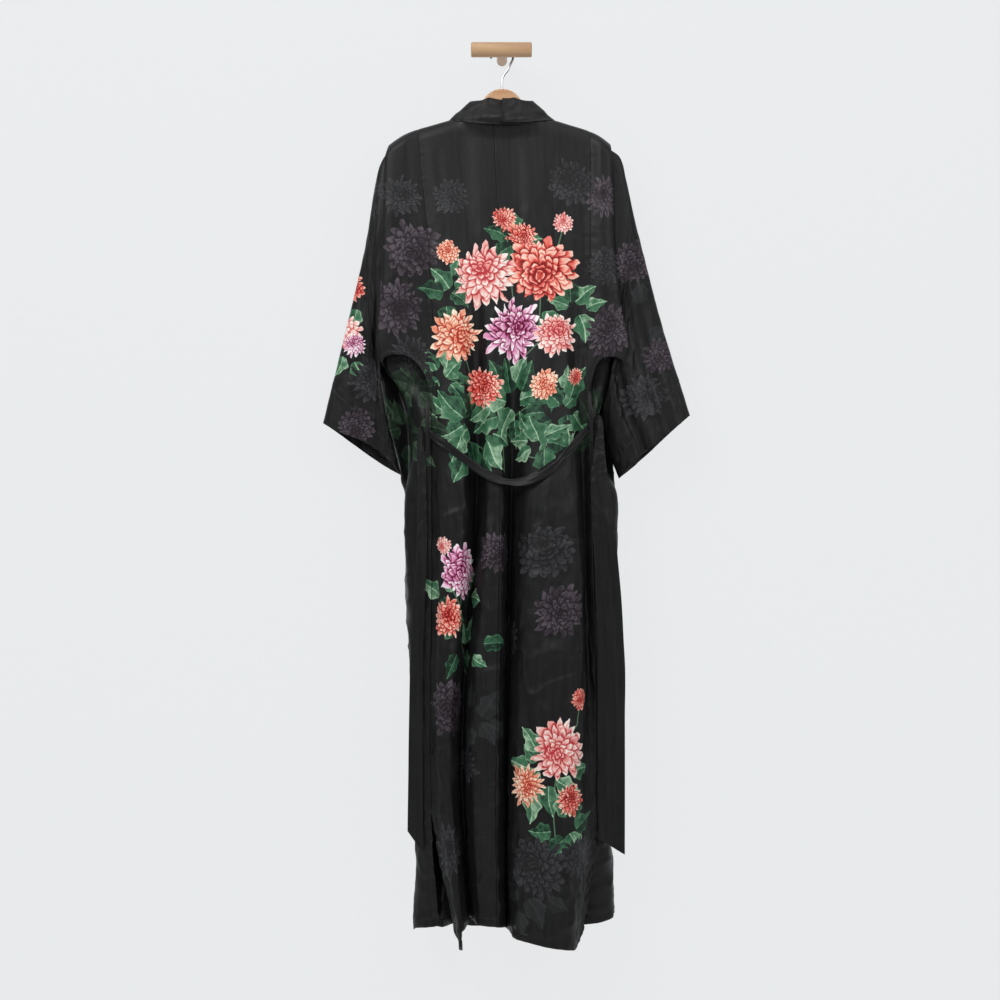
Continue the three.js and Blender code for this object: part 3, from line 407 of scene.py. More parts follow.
def shell(node, p, flat, thick, sew, has=None, tube=False, print_on=None):
    """A closed thin wall about the grid p (rows, columns, 3), which stands for a CAD node. flat gives
    the cloth's flat coordinates, and sew each point's distance to its stitch line and its place along
    it, all in millimetres. has says which cells are there. print_on lays the motifs on the faces."""
    half = normals(p, tube) * (np.broadcast_to(thick, p.shape[:2]) / 2)[..., None]
    verts = np.concatenate([(p + half).reshape(-1, 3), (p - half).reshape(-1, 3)])
    n = len(verts) // 2
    index = np.arange(n).reshape(p.shape[:2])
    if tube:
        index = np.concatenate([index, index[:, :1]], 1)
    quads = grid(index[:-1, :-1], index[:-1, 1:], index[1:, 1:], index[1:, :-1])
    quads = quads.reshape(-1, 4) if has is None else quads[has]
    edges = np.concatenate([quads[:, [k, (k + 1) % 4]] for k in range(4)])
    rim = edges[~np.isin(edges[:, 0] * n + edges[:, 1], edges[:, 1] * n + edges[:, 0])]
    faces = np.concatenate([quads, quads[:, ::-1] + n, np.concatenate([rim[:, ::-1], rim + n], 1)])
    used = np.zeros(len(verts), bool)
    used[faces] = True
    remap = np.cumsum(used) - 1
    uv = flat.reshape(-1, 2)[faces % n]
    if tube:  # the faces between the last column and the first don't span the whole cloth
        wrap = np.ptp(uv[..., 0], axis=1) > 600
        uv[wrap] = uv[wrap][:, :1]

    name = f"silk_{node}"
    mesh = bpy.data.meshes.new(name)
    out = verts[used] / 1000
    out[:, 2] += PEG_DROP / 1000
    mesh.vertices.add(len(out))
    mesh.loops.add(faces.size)
    mesh.polygons.add(len(faces))
    fill(mesh.vertices, "co", out)
    fill(mesh.loops, "vertex_index", remap[faces], np.int32)
    fill(mesh.polygons, "loop_start", np.arange(0, faces.size, 4), np.int32)
    fill(mesh.polygons, "use_smooth", np.ones(len(faces)), bool)
    mesh.update(calc_edges=True)
    ends = np.empty(len(mesh.edges) * 2, np.int32)
    mesh.edges.foreach_get("vertices", ends)
    ends = np.sort(ends.reshape(-1, 2), 1)
    total = len(out) + 1
    border = np.sort(np.concatenate([remap[rim], remap[rim + n]]), 1)
    sharp = np.isin(ends[:, 0] * total + ends[:, 1], border[:, 0] * total + border[:, 1])
    fill(mesh.attributes.new("sharp_edge", "BOOLEAN", "EDGE").data, "value", sharp, bool)
    fill(mesh.uv_layers.new(name="cloth").data, "uv", uv / 1000)
    put(mesh, "sew", np.pad(sew.reshape(-1, 2)[faces % n], ((0, 0), (0, 0), (0, 1))))
    if print_on is not None:
        print_on(mesh, uv)
    mesh.materials.append(SILK if print_on else PLAIN)
    piece = linked(name, mesh)
    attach(piece, "root")
    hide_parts(node)
    return piece


# ---- the printed flowers
AWAY = 9.0  # a motif's coordinates where there is none
LAYERS = {"bloom": 2, "leaf": 3}


def over_bloom(x, y):
    return np.hypot(x, y) < 1.12


def over_leaf(x, y):
    return (np.abs(y) < 0.44) & (x > -0.06) & (x < 1.06)


def lay_motifs(blooms, leaves, stems):
    """Gives each face the local coordinates of the uppermost blooms and leaves over it. A motif is
    (u, v, size, turn, squash, kind), in millimetres and degrees, and kind is its colours' row times
    100 plus a number of its own."""
    def frames(uv, motifs, is_over, count):
        layers = [np.full((*uv.shape[:2], 3), AWAY) for _ in range(count)]
        for u, v, size, turn, squash, kind in motifs:
            c, s = math.cos(math.radians(turn)), math.sin(math.radians(turn))
            d = (uv - (u, v)) / size
            x, y = d[..., 0] * c + d[..., 1] * s, (d[..., 1] * c - d[..., 0] * s) / squash
            over = is_over(x, y).any(1)
            for k in range(count - 1, 0, -1):
                layers[k][over] = layers[k - 1][over]
            layers[0][over] = grid(x, y, kind)[over]
        return layers

    def lay(mesh, uv):
        for name, motifs, is_over in (("bloom", blooms, over_bloom), ("leaf", leaves, over_leaf)):
            for k, layer in enumerate(frames(uv, motifs, is_over, LAYERS[name])):
                put(mesh, f"{name}_{k}", layer)
        stem = np.full(uv.shape[:2], 99.0)
        for line in stems:
            for (x0, y0), (x1, y1) in zip(line, line[1:]):
                way = np.array([x1 - x0, y1 - y0])
                length = np.hypot(*way)
                way = way / length
                d = uv - (x0, y0)
                on = d @ way
                off = d @ np.array([-way[1], way[0]])
                near = ((on > -1) & (on < length + 1) & (np.abs(off) < 12)).any(1)
                closer = near & (np.abs(off).min(1) < np.abs(stem).min(1))
                stem[closer] = off[closer]
        put(mesh, "stem", grid(stem, stem, stem))
    return lay


# ---- shader arithmetic
class Net:
    """A material's node tree, written as arithmetic."""

    def __init__(self, name):
        self.material = bpy.data.materials.new(name)
        self.material.use_nodes = True
        self.tree = self.material.node_tree
        self.tree.nodes.clear()
        self.output = self.tree.nodes.new("ShaderNodeOutputMaterial")

    def node(self, kind, inputs=(), **settings):
        made = self.tree.nodes.new("ShaderNode" + kind)
        for key, value in settings.items():
            setattr(made, key, value)
        for key, value in dict(inputs).items():
            self.feed(value, made.inputs[key])
        return made

    def feed(self, value, socket):
        if isinstance(value, Num):
            self.tree.links.new(value.socket, socket)
        elif isinstance(value, bpy.types.NodeSocket):
            self.tree.links.new(value, socket)
        else:
            socket.default_value = value

    def num(self, kind, inputs, **settings):
        return Num(self, self.node(kind, inputs, **settings).outputs[0])

    def math(self, operation, *values, clamp=False):
        return self.num("Math", enumerate(values), operation=operation, use_clamp=clamp)

    def step(self, x, start, end):
        """0 below start and 1 above end, smoothly; or the other way round if end is lower."""
        return self.num("MapRange", {0: x, 1: min(start, end), 2: max(start, end), 3: float(start > end),
                                     4: float(start <= end)}, interpolation_type="SMOOTHSTEP")

    def mix(self, a, b, share):
        made = self.node("Mix", {0: share, 6: a, 7: b}, data_type="RGBA")
        return made.outputs[2]

    def ramp(self, x, stops, interpolation="LINEAR"):
        made = self.node("ValToRGB", {0: x})
        made.color_ramp.interpolation = interpolation
        while len(made.color_ramp.elements) < len(stops):
            made.color_ramp.elements.new(0.5)
        for element, (at, colour) in zip(made.color_ramp.elements, stops):
            element.position = at
            element.color = (*colour, 1)
        return made.outputs[0]

    def vector(self, x, y, z):
        return self.node("CombineXYZ", {0: x, 1: y, 2: z}).outputs[0]

    def split(self, vector):
        return [Num(self, part) for part in self.node("SeparateXYZ", {0: vector}).outputs]

    def attribute(self, name):
        return self.split(self.node("Attribute", attribute_name=name).outputs["Vector"])

    def noise(self, at, scale, detail=2.0, roughness=0.5, stretch=(1, 1, 1)):
        place = self.node("Mapping", {0: at, 3: stretch}).outputs[0]
        return self.num("TexNoise", {"Vector": place, "Scale": scale, "Detail": detail,
                                     "Roughness": roughness})

    def cloud(self, x, y, z, scale, detail):
        """Noise about 0 at a place made of three numbers."""
        return self.noise(self.vector(x, y, z), scale, detail) - 0.5

    def motif(self, name):
        x, y, kind = self.attribute(name)
        return x, y, (kind + 0.5).floor()

    def finish(self, colour, roughness, bump=None, more=()):
        """Ends in one Principled shader. bump is a strength, a distance and a height."""
        inputs = {"Base Color": colour, "Roughness": roughness, **dict(more)}
        if bump:
            inputs["Normal"] = self.node("Bump", zip(("Strength", "Distance", "Height"), bump)).outputs[0]
        shader = self.node("BsdfPrincipled", inputs)
        self.tree.links.new(shader.outputs[0], self.output.inputs[0])
        return self.material


def operation(name, swapped=False):
    """A method of Num that makes a Math node."""
    return lambda self, *others: self.net.math(name, *((*others, self) if swapped else (self, *others)))


class Num:
    """A number in a node tree."""

    def __init__(self, net, socket):
        self.net, self.socket = net, socket

    __add__, __radd__ = operation("ADD"), operation("ADD", True)
    __sub__, __rsub__ = operation("SUBTRACT"), operation("SUBTRACT", True)
    __mul__, __rmul__ = operation("MULTIPLY"), operation("MULTIPLY", True)
    __truediv__, __pow__, __lt__ = operation("DIVIDE"), operation("POWER"), operation("LESS_THAN")
    abs, fract, floor, sin = (operation(name) for name in ("ABSOLUTE", "FRACT", "FLOOR", "SINE"))

    def clamp(self):
        return self.net.math("ADD", self, 0.0, clamp=True)


def srgb(r, g, b):
    return tuple((c / 255 / 12.92) if c <= 10 else ((c / 255 + 0.055) / 1.055) ** 2.4 for c in (r, g, b))


def colours(rows):
    """The deep, middle and light colour of each kind."""
    return [[srgb(*row[k:k + 3]) for k in (0, 3, 6)] for row in numbers(rows)]


BLOOM_COLOURS = colours("""
138 14 18   232 92 80    255 214 194
190 52 62   242 160 152  255 242 234
112 2 54    226 136 184  255 252 252
176 44 34   242 150 116  255 236 212
22 22 23    38 38 40     58 58 61
27 20 26    50 42 49     84 76 83""")
# The third row is a darker copy of the first: painted shade, for the leaves in the hollow under the
# sleeves.
LEAF_COLOURS = colours("""
14 40 28    62 112 80    172 206 172
26 28 28    38 41 41     54 58 57
12 20 14    30 48 34     72 92 72""")
RINGS = [(0.14, 4), (0.27, 6), (0.41, 9), (0.56, 11), (0.71, 14), (0.86, 16), (1.0, 17)]  # reach, petals


def colours_of(net, kind, table_of, tone):
    """The colour of a kind's row at a tone from 0, deep, to 1, light."""
    at = (kind / 100.0).floor() / 8.0 + 0.0625
    rows = [net.ramp(at, [(k / 8, row[n]) for k, row in enumerate(table_of)], "CONSTANT") for n in range(3)]
    lower = net.mix(rows[0], rows[1], net.step(tone, 0.0, 0.5))
    return net.mix(lower, rows[2], net.step(tone, 0.45, 1.0))


def bloom(net, name):
    """Mask and colour of a full rosette of uneven petals, seen a little from one side."""
    x, y, kind = net.motif(name)
    own = (kind * 0.618).fract()
    warp_x = net.cloud(x, y, kind * 0.37, 2.4, 2.0)
    warp_y = net.cloud(y, x, kind * 0.61 + 9.0, 2.4, 2.0)
    x, y = x + warp_x * 0.36, y + warp_y * 0.36
    lean_x, lean_y = (own * 6.283).sin() * 0.22, (own * 6.283 + 1.571).sin() * 0.22
    sharp = 0.10 + 0.22 * (kind * 0.37).fract()
    broad = net.cloud(x, y, kind * 0.23, 1.5, 1.0) * 1.1
    tone, mask, streak = None, None, None
    for k, (reach, petals) in reversed(list(enumerate(RINGS))):
        cx, cy = x - lean_x * (1 - reach), y - lean_y * (1 - reach)
        r = net.math("SQRT", cx * cx + cy * cy)
        turn = net.math("ARCTAN2", cy, cx) / (2 * math.pi) + r * 0.02
        if streak is None:
            streak = net.cloud(turn * 62.0, r * 3.0, kind, 1.0, 2.0)
        around = turn * petals + (kind * 0.618 + k * 0.37).fract()
        each = net.math("FLOORED_MODULO", around.floor(), float(petals))
        jitter = ((each * 12.9898 + kind * 3.7 + k * 5.3).sin() * 437.58).fract()
        a = (around.fract() - 0.5).abs() * 2.0
        edge = reach * (1.0 - 0.22 * jitter) * (1.0 - sharp * a - 0.12 * a ** 4.0)
        inside = net.step(edge - r, 0.0, 0.012)
        t = r / edge
        light = (net.step(t, 0.45, 1.0) * 0.62 + 0.34 * jitter + 0.10
                 - net.step(a, 0.50, 1.0) * 0.48 - (0.12 if k < 2 else 0.0))
        if tone is None:
            tone, mask = light, inside
        else:
            # the ring below is in shadow just outside this ring's edge
            tone = tone - net.step(r - edge, 0.12, 0.0) * 0.46
            tone = tone + (light - tone) * inside
    tone = (tone + streak * 0.5 + broad).clamp()
    return mask, colours_of(net, kind, BLOOM_COLOURS, tone)


def leaf(net, name):
    """Mask and colour of a broad leaf with a toothed, wavy edge and light veins."""
    x, y, kind = net.motif(name)
    own = ((kind * 7.31).sin() * 91.7).fract()
    mottle = net.cloud(x, y, kind * 0.61, 5.0, 3.0)
    bend = y + 0.10 * (x * 3.1 + kind).sin() * x + mottle * 0.05
    off = bend.abs()
    lobes = 1.0 + 0.16 * (x * 15.0 + own * 3.0).sin()
    width = (net.math("POWER", x.clamp(), 0.62) * math.pi).sin() * (0.36 - 0.08 * x) * lobes
    teeth = ((x * 9.0 - off * 5.0).fract() - 0.5).abs() * 0.06
    edge = width * (1.0 + teeth * 1.2) - teeth * 0.3
    mask = net.step(edge - off, 0.0, 0.012) * (x < 1.0) * net.math("GREATER_THAN", x, 0.0)
    vein = ((x - off * 0.9) * 6.0 + mottle * 0.6).fract()
    veins = net.step((vein - 0.5).abs(), 0.36, 0.5) * net.step(off, 0.30, 0.02)
    midrib = net.step(off, 0.026, 0.008)
    half = net.step(bend, -0.03, 0.03)
    tone = (0.06 + 0.46 * own + 0.20 * half + mottle * 0.9 - veins * 0.14
            + net.step(off / (edge + 0.01), 0.6, 1.0) * 0.24 + midrib * 0.4).clamp()
    return mask, colours_of(net, kind, LEAF_COLOURS, tone)


SILK_BLACK = (0.0042, 0.0042, 0.0044)


def silk(name, printed):
    """Black satin: a fine weave, slubs and a soft sheen, with stitch lines and printed flowers."""
    net = Net(name)
    place = net.node("UVMap", uv_map="cloth").outputs[0]
    cloudy = net.noise(place, 9.0, 3.0, 0.6, (1, 0.35, 1))
    slub = net.noise(place, 130.0, 3.0, 0.65, (1, 0.06, 1))
    cross = net.noise(place, 260.0, 2.0, 0.5, (0.08, 1, 1))
    base = net.mix((*SILK_BLACK, 1), (*(c * 2.6 for c in SILK_BLACK), 1),
                   net.step(cloudy * 0.5 + slub * 0.5, 0.36, 0.70))
    colour = base
    if printed:
        stem = net.attribute("stem")[0].abs()
        colour = net.mix(colour, (*srgb(88, 120, 92), 1), net.step(stem, 1.3, 0.7))
        for what, name in ((leaf, "leaf"), (bloom, "bloom")):
            for k in reversed(range(LAYERS[name])):
                mask, dye = what(net, f"{name}_{k}")
                colour = net.mix(colour, dye, mask)
        worn = net.noise(place, 420.0, 2.0, 0.6)
        colour = net.mix(colour, base, net.step(worn, 0.60, 0.80) * 0.35)
    distance, way, _ = net.attribute("sew")
    dash = net.step((way / 2.6).fract(), 0.78, 0.70)
    thread = net.step(distance.abs(), 0.32, 0.16) * dash
    colour = net.mix(colour, (0.016, 0.016, 0.018, 1), thread)
    u, v, _ = net.split(place)
    weave = (u * 14000.0).sin() * 0.5 + (v * 11000.0).sin() * 0.35
    height = slub * 0.55 + cross * 0.35 + weave * 0.06 + cloudy * 0.8 + thread * 0.6
    return net.finish(colour, 0.44 + (slub - 0.5) * 0.22 + (cloudy - 0.5) * 0.1, (0.42, 0.0007, height), {
        "Specular IOR Level": 0.26, "Sheen Weight": 0.02, "Sheen Roughness": 0.45,
        "Sheen Tint": (0.75, 0.78, 0.85, 1)})


def wood(name, light, dark, rings, roughness):
    """Straight-grained wood, its grain along X, with pores and darker late wood."""
    net = Net(name)
    place = net.node("TexCoord").outputs["Object"]
    drift = net.noise(place, 6.0, 2.0, 0.5, (0.5, 1, 1))
    _, y, z = net.split(place)
    grain = net.noise(place, 60.0, 4.0, 0.65, (0.07, 1.2, 1.6))
    band = ((z * 6.0 + y * 3.0 + drift * 0.7) * rings).sin() * 0.5 + 0.5
    pores = net.noise(place, 900.0, 2.0, 0.6, (0.04, 1, 1))
    tone = (band * 0.35 + grain * 0.75 - net.step(pores, 0.62, 0.75) * 0.25).clamp()
    colour = net.ramp(tone, [(0.2, dark), (0.55, lerp(np.array(dark), light, 0.6)), (0.85, light)])
    height = grain * 0.6 - net.step(pores, 0.6, 0.75) * 0.6
    return net.finish(colour, roughness + (grain - 0.5) * 0.2, (0.25, 0.0004, height),
                      {"Coat Weight": 0.15, "Coat Roughness": 0.3})


def wire_metal(name):
    net = Net(name)
    place = net.node("TexCoord").outputs["Object"]
    marks = net.noise(place, 300.0, 3.0, 0.6, (1, 1, 0.2))
    colour = net.ramp(marks, [(0.2, srgb(138, 138, 140)), (0.8, srgb(176, 176, 178))])
    return net.finish(colour, 0.16 + marks * 0.14, (0.08, 0.0002, marks), {"Metallic": 1.0})


# ---- where the motifs are
def flat_at(x, z, lo=SEAM_L, hi=SEAM_R):
    """The flat coordinates of the body cloth's point at x and z, between two values of f."""
    fs = np.linspace(lo, hi, 2000)
    f = fs[np.argmin(np.abs(ring(fs, z)[..., 0] - x))]
    return float(arc(f, z)), z


def motifs_at(rows, lo=SEAM_L, hi=SEAM_R):
    """Motifs from rows of x, z, size, turn, squash and kind, laid on the body's cloth."""
    return [(*flat_at(x, z, lo, hi), *others) for x, z, *others in rows]


BLOOMS = motifs_at(numbers("""
104 -296 20 0 1 144, 6 -288 24 0 1 61, -92 -346 23 30 1 319, 34 -320 31 0 1 7, -30 -384 67 20 0.95 131
66 -374 70 0 0.94 17, 18 -478 62 75 0.95 253, -76 -488 53 40 0.95 342, 90 -486 43 10 1 128
-32 -574 43 0 0.9 36, 70 -570 29 0 1 371, 122 -556 18 0 1 12
-64 -884 53 15 0.95 252, -92 -962 38 0 1 63, -100 -840 18 0 1 171
96 -1168 53 0 1 174, 40 -1226 38 30 1 381, 130 -1092 20 0 1 82, 112 -1244 29 0 1 5"""))
GHOSTS = motifs_at(numbers("""
118 -226 44 0 1 401, -88 -250 38 30 0.9 402, 70 -850 62 0 0.8 403, 96 -950 54 40 0.9 504
10 -1000 50 10 0.9 405, -84 -1110 56 0 1 506, -60 -1210 44 0 0.8 407, -96 -1340 50 20 0.9 408
60 -1350 52 0 1.1 409, 128 -1330 40 0 1 410, -8 -850 40 0 1 507"""))
SIDE_GHOSTS = motifs_at(numbers("-170 -250 40 0 1 421, -150 -340 54 20 1 522, -180 -440 56 0 1 523,"
                                "-150 -520 40 0 1 424"), NEAR_L, SEAM_L)
SIDE_GHOSTS += motifs_at(numbers("172 -250 36 0 1.2 524, 176 -370 40 0 1 425, 184 -480 52 30 1 526"),
                         SEAM_R, NEAR_R)


def sprays(rows, kind=0, lo=SEAM_L, hi=SEAM_R):
    """Leaves strewn round points and pointing away from them, from rows of x, z, count, reach, size
    and seed."""
    made = []
    for x, z, count, reach, size, seed in numbers(rows):
        rng = np.random.default_rng(int(seed))
        leaves = []
        for k in range(int(count)):
            turn = 360 * (k + rng.uniform(-0.3, 0.3)) / count
            away = reach * rng.uniform(0.1, 1)
            a = math.radians(turn)
            leaves.append((x + away * math.cos(a), z + away * math.sin(a),
                           size * rng.uniform(0.75, 1.15), turn + rng.uniform(-25, 25),
                           rng.uniform(0.9, 1.15), kind * 100 + rng.integers(99)))
        rng.shuffle(leaves)
        made += motifs_at(leaves, lo, hi)
    return made


LEAVES = sprays("""
20 -330 5 26 40 10, -88 -410 6 28 44 9, 118 -440 7 26 46 1, -100 -560 9 40 50 2, -50 -640 16 60 56 4
20 -600 13 48 56 3, 100 -610 13 48 52 5, 62 -668 8 34 44 6, -84 -930 7 36 44 7
-60 -1010 7 34 44 13, 70 -1200 10 46 46 8, 110 -1290 6 30 44 14""")
LEAVES += sprays("-40 -1130 6 34 48 11, 40 -1390 6 40 48 12", 1)
# The side leaves take the third, darker row of leaf colours: painted shade for the hollow under the
# sleeves.
SIDE_LEAVES = sprays("-170 -640 14 52 52 21, -150 -570 6 26 48 22", 2, FAR_L, SEAM_L)
SIDE_LEAVES += sprays("172 -640 9 38 46 23", 2, SEAM_R, FAR_R)
STEMS = [[flat_at(x, z) for x, z in zip(line[::2], line[1::2])] for line in numbers("""
4 -716 -4 -640 8 -560 18 -490, -4 -640 -50 -570 -70 -500, 8 -560 60 -500 66 -390
66 -400 96 -330 104 -300, -4 -640 60 -600 70 -576, 18 -420 10 -340 6 -296
-40 -400 -80 -370 -92 -350, 60 -600 104 -580 122 -560, -60 -1060 -70 -980 -66 -900
-70 -940 -96 -890 -100 -846, 90 -1330 84 -1250 94 -1180, 94 -1180 124 -1130 130 -1098
84 -1250 56 -1236 40 -1226, 4 -716 -30 -680 -70 -660, -4 -640 40 -690 84 -700""")]
# The sleeves' far faces lie FAR_FACE further along.
SLEEVE_BLOOMS = {-1: numbers("""
-218 -250 34 0 1 431, -222 -560 44 0 1 432, -250 -640 36 0 1 533, -258 -402 30 0 1 39
-272 -478 38 0 1 158, -250 -500 24 20 1 262, 745 -340 46 0 1 43, 730 -450 40 0 1 145"""), 1: numbers("""
222 -360 40 0 1.1 533, 240 -590 46 0 1 434, 270 -520 36 0 1 535
1230 -340 46 0 1 147, 1262 -460 38 0 1 49, 1240 -560 44 0 1 436""")}
SLEEVE_LEAVES = {-1: numbers("""
-246 -440 40 250 1 3, -262 -430 36 200 1 14, -262 -372 34 120 1 25, -250 -530 40 290 1 41
-270 -520 38 250 1 42, 740 -390 44 200 1 43, 770 -400 40 300 1 44"""), 1: numbers("""
236 -430 44 100 1 144, 256 -470 44 300 1 145, 1246 -400 44 80 1 46, 1220 -420 40 200 1 47""")}
FAR_FACE = 1000


# ---- the pieces
SILK, PLAIN = silk("printed_silk", True), silk("plain_silk", False)
CLOTH, HEM_WALL, SIDE_HEM_WALL, CUFF_WALL = 0.8, 1.7, 1.5, 1.3
HEM, SLIT_HEM, SIDE_HEM, BAND_WIDTH = 13.0, 8.0, 7.0, 50
SLEEVE_LENGTH, CUFF_SEAM = 500, 0.89
LONG_PLEATS = {  # the flat between them, then each one's place, slant, width and height
    -1: (0.6, (0.22, 0, 0.05, 2), (0.66, -0.05, 0.05, 2.5)),
    1: (2.5, (0.30, 0.05, 0.045, 5), (0.58, 0, 0.06, 6), (0.80, -0.06, 0.04, 3.5))}
motif_cloth = lay_motifs(GHOSTS + SIDE_GHOSTS + BLOOMS, LEAVES + SIDE_LEAVES, STEMS)
body_points = []


def hem_levels(step):
    line = level_of(HEM_Z + HEM)
    return np.unique(np.concatenate([levels(step), [line - 0.9, line, line + 0.9]]))


def body_piece(node, p, f, z, u, thick, sew, has=None):
    """A piece of the body, from its smooth surface p."""
    out = silk_relief(u, z, p[..., 0], f)
    for seam, deep, pucker, end in ((SEAM_L, 0.55, 0.5, SLIT_Z), (CENTRE, 0.35, 0.25, RING_END),
                                    (SEAM_R, 0.55, 0.5, SLIT_Z)):
        out = out + seam_relief(u - arc(seam, z), z, deep, pucker) * (z > end) * smooth((-110 - z) / 20)
    # the slits' edges are puckered by their narrow hems
    for seam in SEAMS.values():
        edge = u - arc(seam, z)
        out = out + (z < SLIT_Z) * fade(edge, 16) * 1.5 * noise(z / 9, np.abs(edge) / 30, 87)
    p = moved_out(p, out)
    body_points.append(p.reshape(-1, 3))
    return shell(node, p, grid(u, z), thick, sew, has, print_on=motif_cloth)


def panel(node, side, fs, rows, has=None, reshape=None):
    """One panel of the body, between values of f and levels."""
    f, level = np.meshgrid(fs, rows)
    p, z = body(f, level)
    if reshape is not None:
        p = reshape(p, f, z)
    u = arc(f, z)
    hem = z - (HEM_Z + HEM)
    edge = np.abs(u - arc(SEAMS[side], z)) - SLIT_HEM
    on_slit = z < SLIT_Z + 6
    nearer = (on_slit & (np.abs(edge) < np.abs(hem)))[..., None]
    thick = np.where((hem < 0) | on_slit & (edge < 0), HEM_WALL, CLOTH)
    return body_piece(node, p, f, z, u, thick, np.where(nearer, grid(edge, z), grid(hem, u)), has)


def back(side):
    lap = 0.004  # the halves lap over each other at the centre back, so that no light comes through
    fs = even(SEAM_L + 0.001, CENTRE + lap, 2.2) if side < 0 else even(CENTRE - lap, SEAM_R - 0.001, 2.2)
    return panel(f"back_{WORDS[side]}", side, fs, hem_levels(3.6))


def front(side):
    fs = np.concatenate([even(FRONT_L, FAR_L, 3.2), even(FAR_L, SEAM_L - 0.03, 3.0)[1:]])
    fs = fs if side < 0 else (FRONT_R - fs)[::-1]
    rows = hem_levels(4.2)

    def reshape(p, f, z):
        beyond = (f if side < 0 else FRONT_R - f) - FAR_L
        share = smooth(beyond)
        tucked = (z < TUCK_TOP_Z) & (z > TUCK_END_Z) & (share > 0)
        limit = np.abs(ring(FARS[side], z)[..., 0]) - 8 * share
        x = np.where(tucked, side * np.minimum(side * p[..., 0], limit), p[..., 0])
        if side < 0:  # a little fullness behind the sleeve's lower edge, so that no light comes through
            x = x - 9 * bell(z + 538, 17) * bell(beyond, 1.2)
        y = p[..., 1] + np.where(tucked, 26 * share * smooth((z - TUCK_END_Z) / 60), 0)
        return grid(x, y, p[..., 2])

    inner = side * (fs[1:] + fs[:-1]) / 2 > side * FARS[side]
    has = (rows[1:] > level_of(TUCK_TOP_Z))[:, None] | inner[None]
    return panel(f"front_{WORDS[side]}", side, fs, rows, has, reshape)


def side_back(side):
    fs = even(NEAR_L, SEAM_L + 0.002, 2.2, -400) if side < 0 else even(SEAM_R - 0.002, NEAR_R, 2.2, -400)
    top, peak, outer_drop, inner_drop, power = ARCHES[side]
    w = (fs - fs[0]) / (fs[-1] - fs[0])
    w = w if side < 0 else 1 - w
    arch = np.where(w < peak, top - outer_drop * (1 - w / peak) ** 2,
                    top - inner_drop * np.clip((w - peak) / (1 - peak), 0, 1) ** power)
    hem_rows = level_of(SIDE_JOIN_Z) - np.array([SIDE_HEM, SIDE_HEM + 1])
    f, level = np.meshgrid(fs, np.unique(np.concatenate([levels(3.6, SIDE_JOIN_Z), hem_rows])))
    p, z = body(f, level)
    arched = z < ARCH_FROM_Z
    share = np.clip((ARCH_FROM_Z - z) / (ARCH_FROM_Z - SIDE_JOIN_Z), 0, 1)
    bent = np.where(arched, lerp(ARCH_FROM_Z, arch[None], share), z)
    p = np.where(arched[..., None], hung(f, bent), p)
    rim = (z - SIDE_JOIN_Z) * np.where(arched, (ARCH_FROM_Z - arch) / (ARCH_FROM_Z - SIDE_JOIN_Z), 1)
    edge, u = rim - SIDE_HEM, arc(f, bent)
    return body_piece(f"side_back_{WORDS[side]}", p, f, bent, u, np.where(edge < 0, SIDE_HEM_WALL, CLOTH),
                      grid(edge, u))


def sleeve_point(side, a, s):
    rows = SLEEVES[side]
    at = {c: along(rows, c, -s) for c in rows}
    w = 0.5 - 0.5 * np.cos(2 * np.pi * a)
    bulge = np.abs(np.sin(2 * np.pi * a)) ** 0.55
    count, depth = SLEEVE_PLEATS[side]
    grown = depth * smooth(s / 0.5)
    pleat = grown * bulge * np.cos(2 * np.pi * count * w)
    half = (at["far"] - at["near"]) / 2 - grown / 2
    y = (at["near"] + at["far"]) / 2 + np.where(a <= 0.5, -1, 1) * bulge * half + pleat / 2 + at["back"] * w
    bow = np.where(a <= 0.5, *SLEEVE_BOWS[side]) * smooth((s - 0.6) / 0.4) * 6.75 * w * w * (1 - w)
    return grid(lerp(at["topX"], at["underX"], w), y, lerp(at["topZ"], at["underZ"], w) + bow), w


def sleeve(node, side, start, end, rows):
    """A tube round the arm: a goes once round it, and s from the shoulder to the cuff's end."""
    a = np.linspace(0, 1, 151)[:-1]
    a, s = np.meshgrid(a if side < 0 else -a % 1, np.linspace(start, end, rows))
    p, w = sleeve_point(side, a, s)
    near = a <= 0.5
    flat = grid(p[..., 0] + np.where(near, 0, FAR_FACE), p[..., 2])
    u, v = w * 300 + np.where(near, 0, 500), s * SLEEVE_LENGTH
    taper = np.sin(np.pi * np.clip(w, 0, 1))
    flats, *pleats = LONG_PLEATS[side]
    long_pleats = sum(bell(w - at - slant * s, width) * high for at, slant, width, high in pleats) - flats
    out = near * long_pleats * smooth((s - 0.08) / 0.35) * taper ** 0.5
    out += smooth(s / 0.22) * taper ** 0.6 * (
        rumple(u / 60 + v / 300, v / 190, 101 + side) * 2.2 + rumple(u / 22, v / 80, 107) * 0.8
        + (creased(u / 34 - v / 90, v / 46 + u / 140, 113 + side) - 0.25) * 1.9)
    out += 0.22 * rumple(u / 8, v / 18, 127) * smooth(s / 0.1)
    d = v - CUFF_SEAM * SLEEVE_LENGTH
    puckers = fade(d + 5, 8) * noise(u / 6, d / 40, 131) * (d < 8)
    out += smooth(s / 0.3) * (-0.7 * bell(d, 1.3) + 1.6 * puckers)
    p = moved_out(p, out, True, -1 if normals(p, True)[rows // 2, :, 1][near[0]].mean() > 0 else 1)
    wall, stitch = (CUFF_WALL, d - 2.5) if start > 0 else (CLOTH, 50 - d)
    return shell(node, p, flat, wall, grid(stitch, u), tube=True,
                 print_on=lay_motifs(SLEEVE_BLOOMS[side], SLEEVE_LEAVES[side], []))


